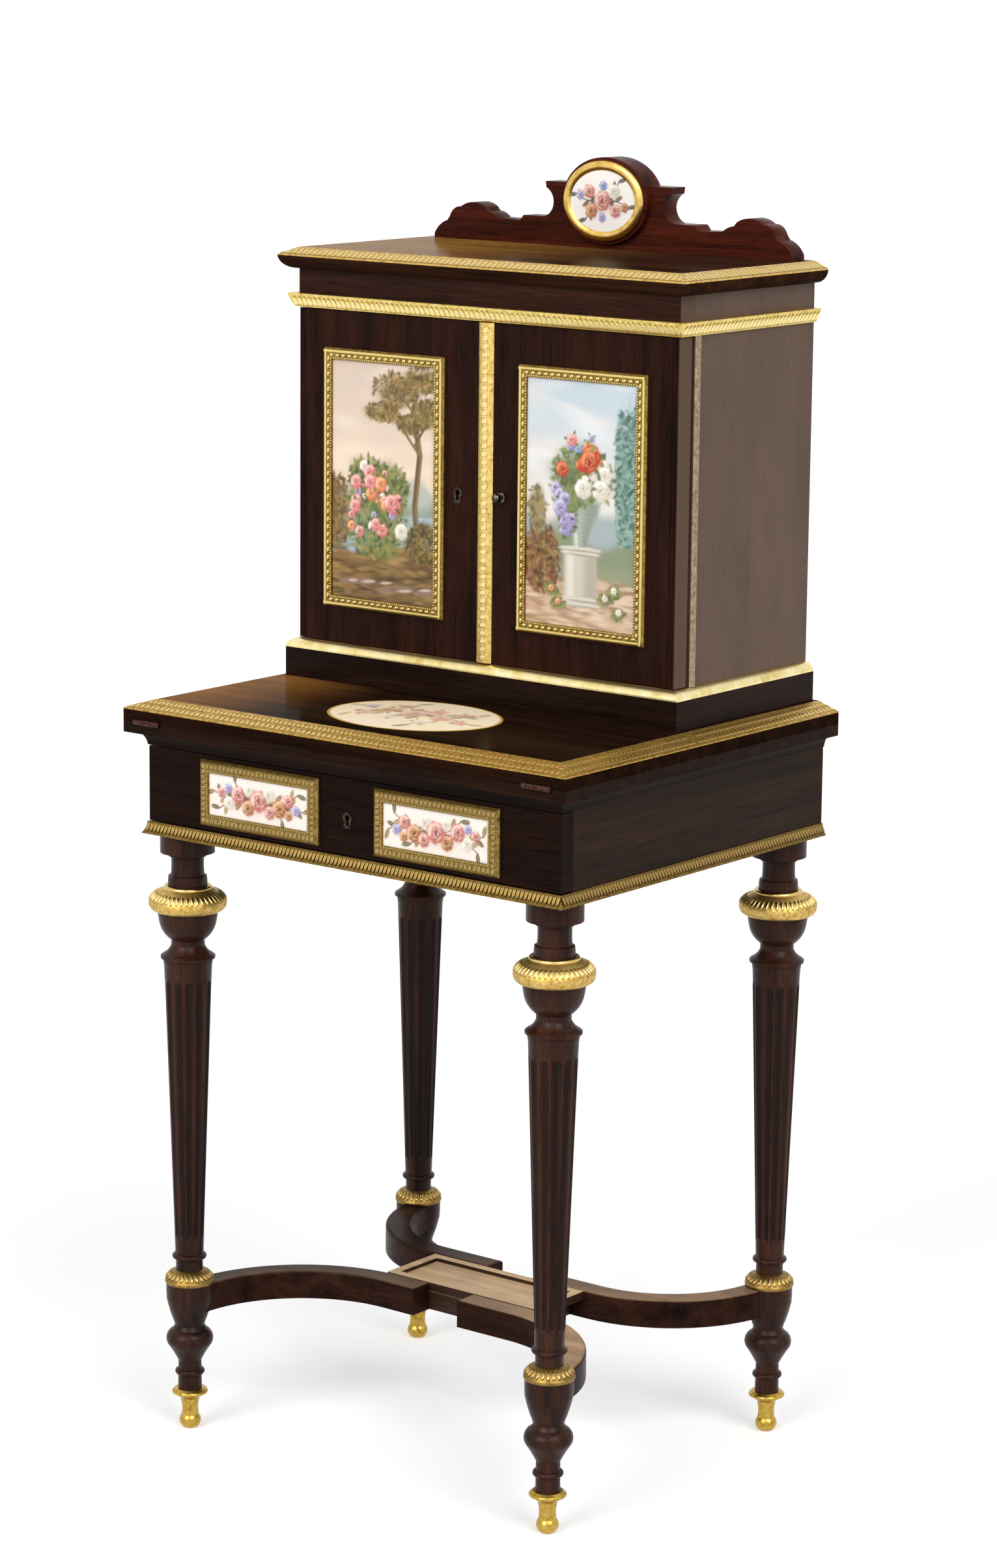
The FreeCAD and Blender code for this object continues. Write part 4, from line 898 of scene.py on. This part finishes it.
def rose_garden(art):
    rng = np.random.default_rng(3)
    wave = art["x"] / art["wide"]
    sky(art, rng, "#f3dec6", "#d8c4b4", ("#fdf1e2", "#ebcdb8", "#cfc4bc"))
    wash(art, 0.30, 0.49 + 0.03 * np.sin(wave * 7) + 0.015 * np.sin(wave * 23), "#aab4b0", 0.03, 0.85)
    wash(art, 0.30, 0.43 + 0.025 * np.sin(wave * 9 + 2), "#8d9c8c", 0.03, 0.85)
    wash(art, 0.20, 0.375 + 0.004 * np.sin(wave * 30), "#a9bfc8", 0.01)
    for _ in range(40):
        dab(art, rng.uniform(-66, 66), rng.uniform(-0.28, -0.13) * art["tall"], rng.uniform(5, 14), 0.7, 0,
            any_of(rng, ("#dbe6e6", "#8ca3ae")), 0.6, 0.6)
    wash(art, -0.1, 0.225 + 0.03 * np.sin(wave * 6 + 1) + 0.01 * np.sin(wave * 31), "#7c5c34", 0.015)
    ground(art, rng, 0.24, 260, ("#573d20", "#96733f", "#b28f56", "#40301a", "#74652f"))
    trunk(art, [(44, -66), (40, -20), (46, 30), (38, 72), (42, 98)], 3.0, ("#6e5434", "#a98c62"))
    for x0, x1, y0, y1 in ((46, 14, 30, 66), (38, 10, 72, 96), (40, 60, 40, 70)):
        trunk(art, [(x0, y0), (x1, y1)], 1.3, ("#6e5434", "#9c8058"))
    for crown in ((14, 92, 30, 17), (48, 104, 22, 14), (0, 70, 22, 10), (56, 72, 14, 14), (34, 60, 18, 9)):
        leafage(art, rng, *crown, 150, 2.8, ("#8a6c40", "#6f5c34", "#b0925c", "#574624", "#7f7440"))
    leafage(art, rng, -58, -34, 15, 40, 240, 3.2, ("#7a5830", "#5c4222", "#9c7a48", "#6d6434"))
    moss = ("#5f6c38", "#7f884a", "#434f2a", "#99995a")
    for mound in ((-10, -38, 40, 40), (-20, 2, 24, 24), (10, -6, 22, 26)):
        leafage(art, rng, *mound, 200, 3.4, moss)
    leafage(art, rng, 50, -56, 20, 20, 170, 3.0, ("#5c4c24", "#7c6a36", "#41371c", "#958048"))
    heaps = ((-24, 2, 16, 20), (8, -8, 16, 20), (-28, -38, 18, 20), (10, -44, 20, 20), (-8, -24, 22, 30))
    blooms(art, rng, 22, heaps, (3, 5), (PINK, WHITE, LILAC), moss[:3])
    blooms(art, rng, 22, heaps, (5.5, 9), (PINK, ROSE, PINK, WHITE, CORAL), moss[:3])
    foot, top = -0.44 * art["tall"], -0.43 * art["tall"]
    for x in (-40, -20, 2, 26, 52):
        dab(art, x, foot + rng.uniform(-4, 6), rng.uniform(8, 15), 3.4, 0.1, "#8f766a", 0.3, 0.8)
        dab(art, x + 2, top + rng.uniform(-2, 5), rng.uniform(5, 9), 1.4, 0.1, "#d6c2b4", 0.5, 0.8)


def urn_garden(art):
    rng = np.random.default_rng(8)
    wave = art["x"] / art["wide"]
    sky(art, rng, "#f1e5d9", "#c2d1dc", ("#ffffff", "#d9e3ea", "#f6e6da"))
    wash(art, 0.26, 0.46 + 0.03 * np.sin(wave * 8 + 1) + 0.012 * np.sin(wave * 27), "#93a9ae", 0.03, 0.85)
    wash(art, 0.16, 0.36 + 0.03 * np.sin(wave * 10 + 3), "#86906c", 0.03, 0.9)
    wash(art, -0.1, 0.20 + 0.012 * np.sin(wave * 12), "#d6b99c", 0.012)
    ground(art, rng, 0.2, 180, ("#ecd6c0", "#b8926c", "#8f6c4a", "#dcbfa2"))
    for x in (46, 54, 62):
        leafage(art, rng, x, 30, 6, 66, 220, 3.0, ("#5c8078", "#82a398", "#40605a", "#9cb8aa"))
    leafage(art, rng, -46, -54, 22, 34, 280, 3.2, ("#6c4c28", "#8c683a", "#4a351c", "#a8854e", "#8a4a34"))
    leafage(art, rng, -52, -6, 12, 22, 80, 2.8, ("#8a7a4e", "#a1925f", "#6f6440"))
    for y in np.linspace(-92, -44, 34):
        dab(art, 0, y, 19, 2.2, 0, "#cfc8b8", 0.15)
        dab(art, 11, y, 8, 2.2, 0, "#a69f8e", 0.6, 0.6)
        dab(art, -11, y, 4, 2.2, 0, "#ece6d8", 0.7, 0.7)
    for y, w in ((-95, 25), (-90, 23), (-46, 23), (-42, 25)):
        dab(art, 0, y, w, 2.6, 0, "#d9d3c4", 0.15)
        dab(art, 4, y - 1.6, w * 0.9, 0.9, 0, "#968f7e", 0.5, 0.7)
    for y, w in zip(np.linspace(-38, 2, 30), 9 + 14 * np.sin(np.linspace(0, 1.5, 30)) ** 2):
        dab(art, 0, y, w, 1.9, 0, "#a9b3a6", 0.15)
        dab(art, 0.5 * w, y, 0.4 * w, 1.9, 0, "#7d887c", 0.6, 0.6)
        dab(art, -0.5 * w, y, 0.2 * w, 1.9, 0, "#dfe5dc", 0.7, 0.7)
    dab(art, 0, 4, 26, 2.4, 0, "#bcc5b8", 0.15)
    moss = ("#6d7a48", "#8a9558", "#55623a")
    red = "#7c1f14 #c9492c #ee9a6a"
    leafage(art, rng, 0, 28, 36, 30, 240, 3.2, moss)
    leafage(art, rng, -14, -10, 10, 24, 70, 2.8, moss)
    blooms(art, rng, 9, ((2, 58, 18, 10), (-30, 24, 8, 14), (32, 26, 7, 12)), (4, 6), (BLUE, PINK, LILAC),
           moss)
    blooms(art, rng, 7, ((-20, 4, 9, 10), (-16, -16, 5, 10)), (6, 8), (LILAC,), moss)
    blooms(art, rng, 9, ((14, 22, 15, 16), (22, 34, 8, 8)), (7, 10), (WHITE,), moss)
    blooms(art, rng, 9, ((-12, 36, 14, 14), (6, 48, 9, 8)), (7, 10.5), (red, red, CORAL), moss)
    for x, y in ((-34, -84), (30, -88), (40, -80), (-26, -96), (46, -100)):
        leafage(art, rng, x, y, 9, 6, 26, 2.4, ("#7b8148", "#98985a", "#5c6236"))
        flower(art, rng, x, y + 2, 3.6, WHITE if x > 0 else CORAL)


door_pitch = 1.05 * mm
for side, paint in (("left_door", rose_garden), ("right_door", urn_garden)):
    flat_tile(side + "_painted_tile", side, side + "_plaque", *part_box(side + "_plaque"), door_pitch, paint)


# Knob: a small turned pull on the right door, of brass gone almost black, with its spindle through the door.
# It takes the place of a lock plate on that side.
finish(gilt("#17110d #3a302a #8a837c", rough=0.22), "right_door_knob")


# Crest: a board sawn to an outline of scrolls, with an oval drum in the middle, standing on the back of the
# cabinet top. Mahogany coloured polish, with the sawn edges rubbed round.
finish(wood("x", "#240d06 #582213", gloss=0.3, level=0.05), "crest_board")
eased(0.9 * mm, "crest_board")


# Crest oval: a rounded gilt ring pressed over a small painted plaque on the face of the drum. The ring is
# spun from thin brass; the plaque is porcelain with a spray of flowers.
lo, hi, middle, reach = measured("crest_ring")
sight, turns, bends = 9.5 * mm, 128, 12
share = np.linspace(0, 1, bends)
rise = np.pad(0.25 + 0.75 * np.sin(pi * (0.08 + 0.84 * share)) ** 0.6, 1) * (hi.y - lo.y)
inset = sight * (1 - np.pad(share, 1, "edge"))
flat = rings(reach.x - inset, reach.z - inset, rise, turns)
points = np.array((middle.x, hi.y, middle.z)) + flat @ np.array(front_ways, float)
faces = [face[:1] + face[:0:-1] for face in woven(len(rise), turns, closed=True)]
crest_gilt = gilt("#ac8638 #dab258 #f2d68c", rough=0.26, speck=110.0, dent=0.04)
ring = smooth_piece("crest_gilt_ring", points, faces, crest_gilt, sharp=50)
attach(ring, "carcass")
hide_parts("crest_ring")


def crest_posy(art):
    art["colour"][:] = tint("#fdfbf7")
    dab(art, 0, -4, 30, 18, 0, "#f6e6e0", 0.8, 0.5)
    ends = ((-32, 6, 0.2), (32, -6, 0.2), (-20, -19, -0.2), (20, 20, -0.2))
    flowers = ((-27, 5, 5, LILAC), (27, -5, 5, TAWNY), (-16, 9, 7, ROSE), (16, -9, 7, ROSE),
               (-13, -10, 7.5, TAWNY), (14, 10, 7.5, WHITE), (1, 15, 5, BLUE), (0, -16, 5, LILAC),
               (0, 0, 10.5, ROSE))
    leaves = ("#3c4638", "#6f4e32", "#2f3a40")
    spray(art, np.random.default_rng(33), (0, 0), ends, 9, leaves, "#4c3a2a", flowers)


lo, hi, middle, reach = measured("crest_plaque")
dome = 0.8 * mm
oval_tile("crest_painted_oval", "carcass", "crest_plaque", (middle.x, lo.y, middle.z), reach.x, reach.z,
          hi.y - lo.y, dome, front_ways, crest_posy, glaze)


# Floor: a plain white sweep of studio floor, which takes the soft shadow of the desk. It glows a little, but
# only to the eye, so that it shows white without lighting the desk from below.
def seen_directly(tree):
    """One for what is seen straight or in a polish, nothing for light that falls on the desk."""
    path = step(tree, "LightPath", {}).outputs
    straight = sums(tree, "MAXIMUM", path["Is Camera Ray"], path["Is Glossy Ray"])
    return sums(tree, "MAXIMUM", straight, path["Is Transmission Ray"])


reach = 60.0
mesh = bpy.data.meshes.new("studio_floor")
corners = [(-reach, -reach, 0), (reach, -reach, 0), (reach, reach, 0), (-reach, reach, 0)]
mesh.from_pydata(corners, [], [[0, 1, 2, 3]])
floor = set_in("studio_floor", mesh)
grey = (0.75, 0.75, 0.75, 1.0)
white_floor, tree = new_finish("floor_white", Roughness=0.9, Specular_IOR_Level=0.0, Base_Color=grey)
plain = tree.nodes["Principled BSDF"].outputs["BSDF"]
glow = step(tree, "Emission", {"Color": (1, 1, 1, 1), "Strength": 0.36})
lit = step(tree, "AddShader", {0: plain, 1: glow.outputs["Emission"]})
pick = step(tree, "MixShader", {"Fac": seen_directly(tree), 1: plain, 2: lit.outputs["Shader"]})
tree.links.new(pick.outputs["Shader"], tree.nodes["Material Output"].inputs["Surface"])
mesh.materials.append(white_floor)


# Light: a pale room all round, white where it is seen, and two broad soft lamps, one from the right and one
# from the front.
def toward(azimuth, height):
    """The way from the desk to a lamp or the camera, in degrees round from the front to the right and up."""
    a, e = radians(azimuth), radians(height)
    return Vector((sin(a) * cos(e), -cos(a) * cos(e), sin(e)))


world = bpy.data.worlds.new("studio")
bpy.context.scene.world = world
world.use_nodes = True
tree = world.node_tree
room_light, seen_white = 0.45, 1.0
room, backdrop = (step(tree, "Background", {"Color": (1, 1, 1, 1), "Strength": strength}).outputs[0]
                  for strength in (room_light, seen_white))
pick = step(tree, "MixShader", {"Fac": seen_directly(tree), 1: room, 2: backdrop})
tree.links.new(pick.outputs["Shader"], tree.nodes["World Output"].inputs["Surface"])
lamp_spread = radians(35)
for name, azimuth, height, strength in (("right_lamp", 70, 42, 1.5), ("front_lamp", 0, 32, 1.8)):
    lamp = bpy.data.lights.new(name, "SUN")
    lamp.energy = strength
    lamp.angle = lamp_spread
    placed = set_in(name, lamp)
    placed.rotation_mode = "QUATERNION"
    placed.rotation_quaternion = toward(azimuth, height).to_track_quat("Z", "Y")


# Camera: at the height and turn of the photograph, fitted to the edges of the top, cabinet and legs. It looks
# at a place a little right of the desk's middle line.
azimuth, height, roll = 37.957, 11.4, radians(0.575)
aim_height, aim_right, distance = 0.66193, 0.01664, 4.15504
back, right = toward(azimuth, height), toward(azimuth + 90, 0)
up = back.cross(right)
tilted_right = right * cos(roll) + up * sin(roll)
tilted_up = up * cos(roll) - right * sin(roll)
camera = bpy.data.cameras.new("studio_camera")
camera.sensor_width = 36
camera.lens = 97.84
viewer = set_in("studio_camera", camera)
target = Vector((0, 0, aim_height)) + right * aim_right
turn = Matrix((tilted_right, tilted_up, back)).transposed()
viewer.matrix_world = Matrix.Translation(target + back * distance) @ turn.to_4x4()
bpy.context.scene.camera = viewer
bpy.context.scene.view_settings.view_transform = "Standard"
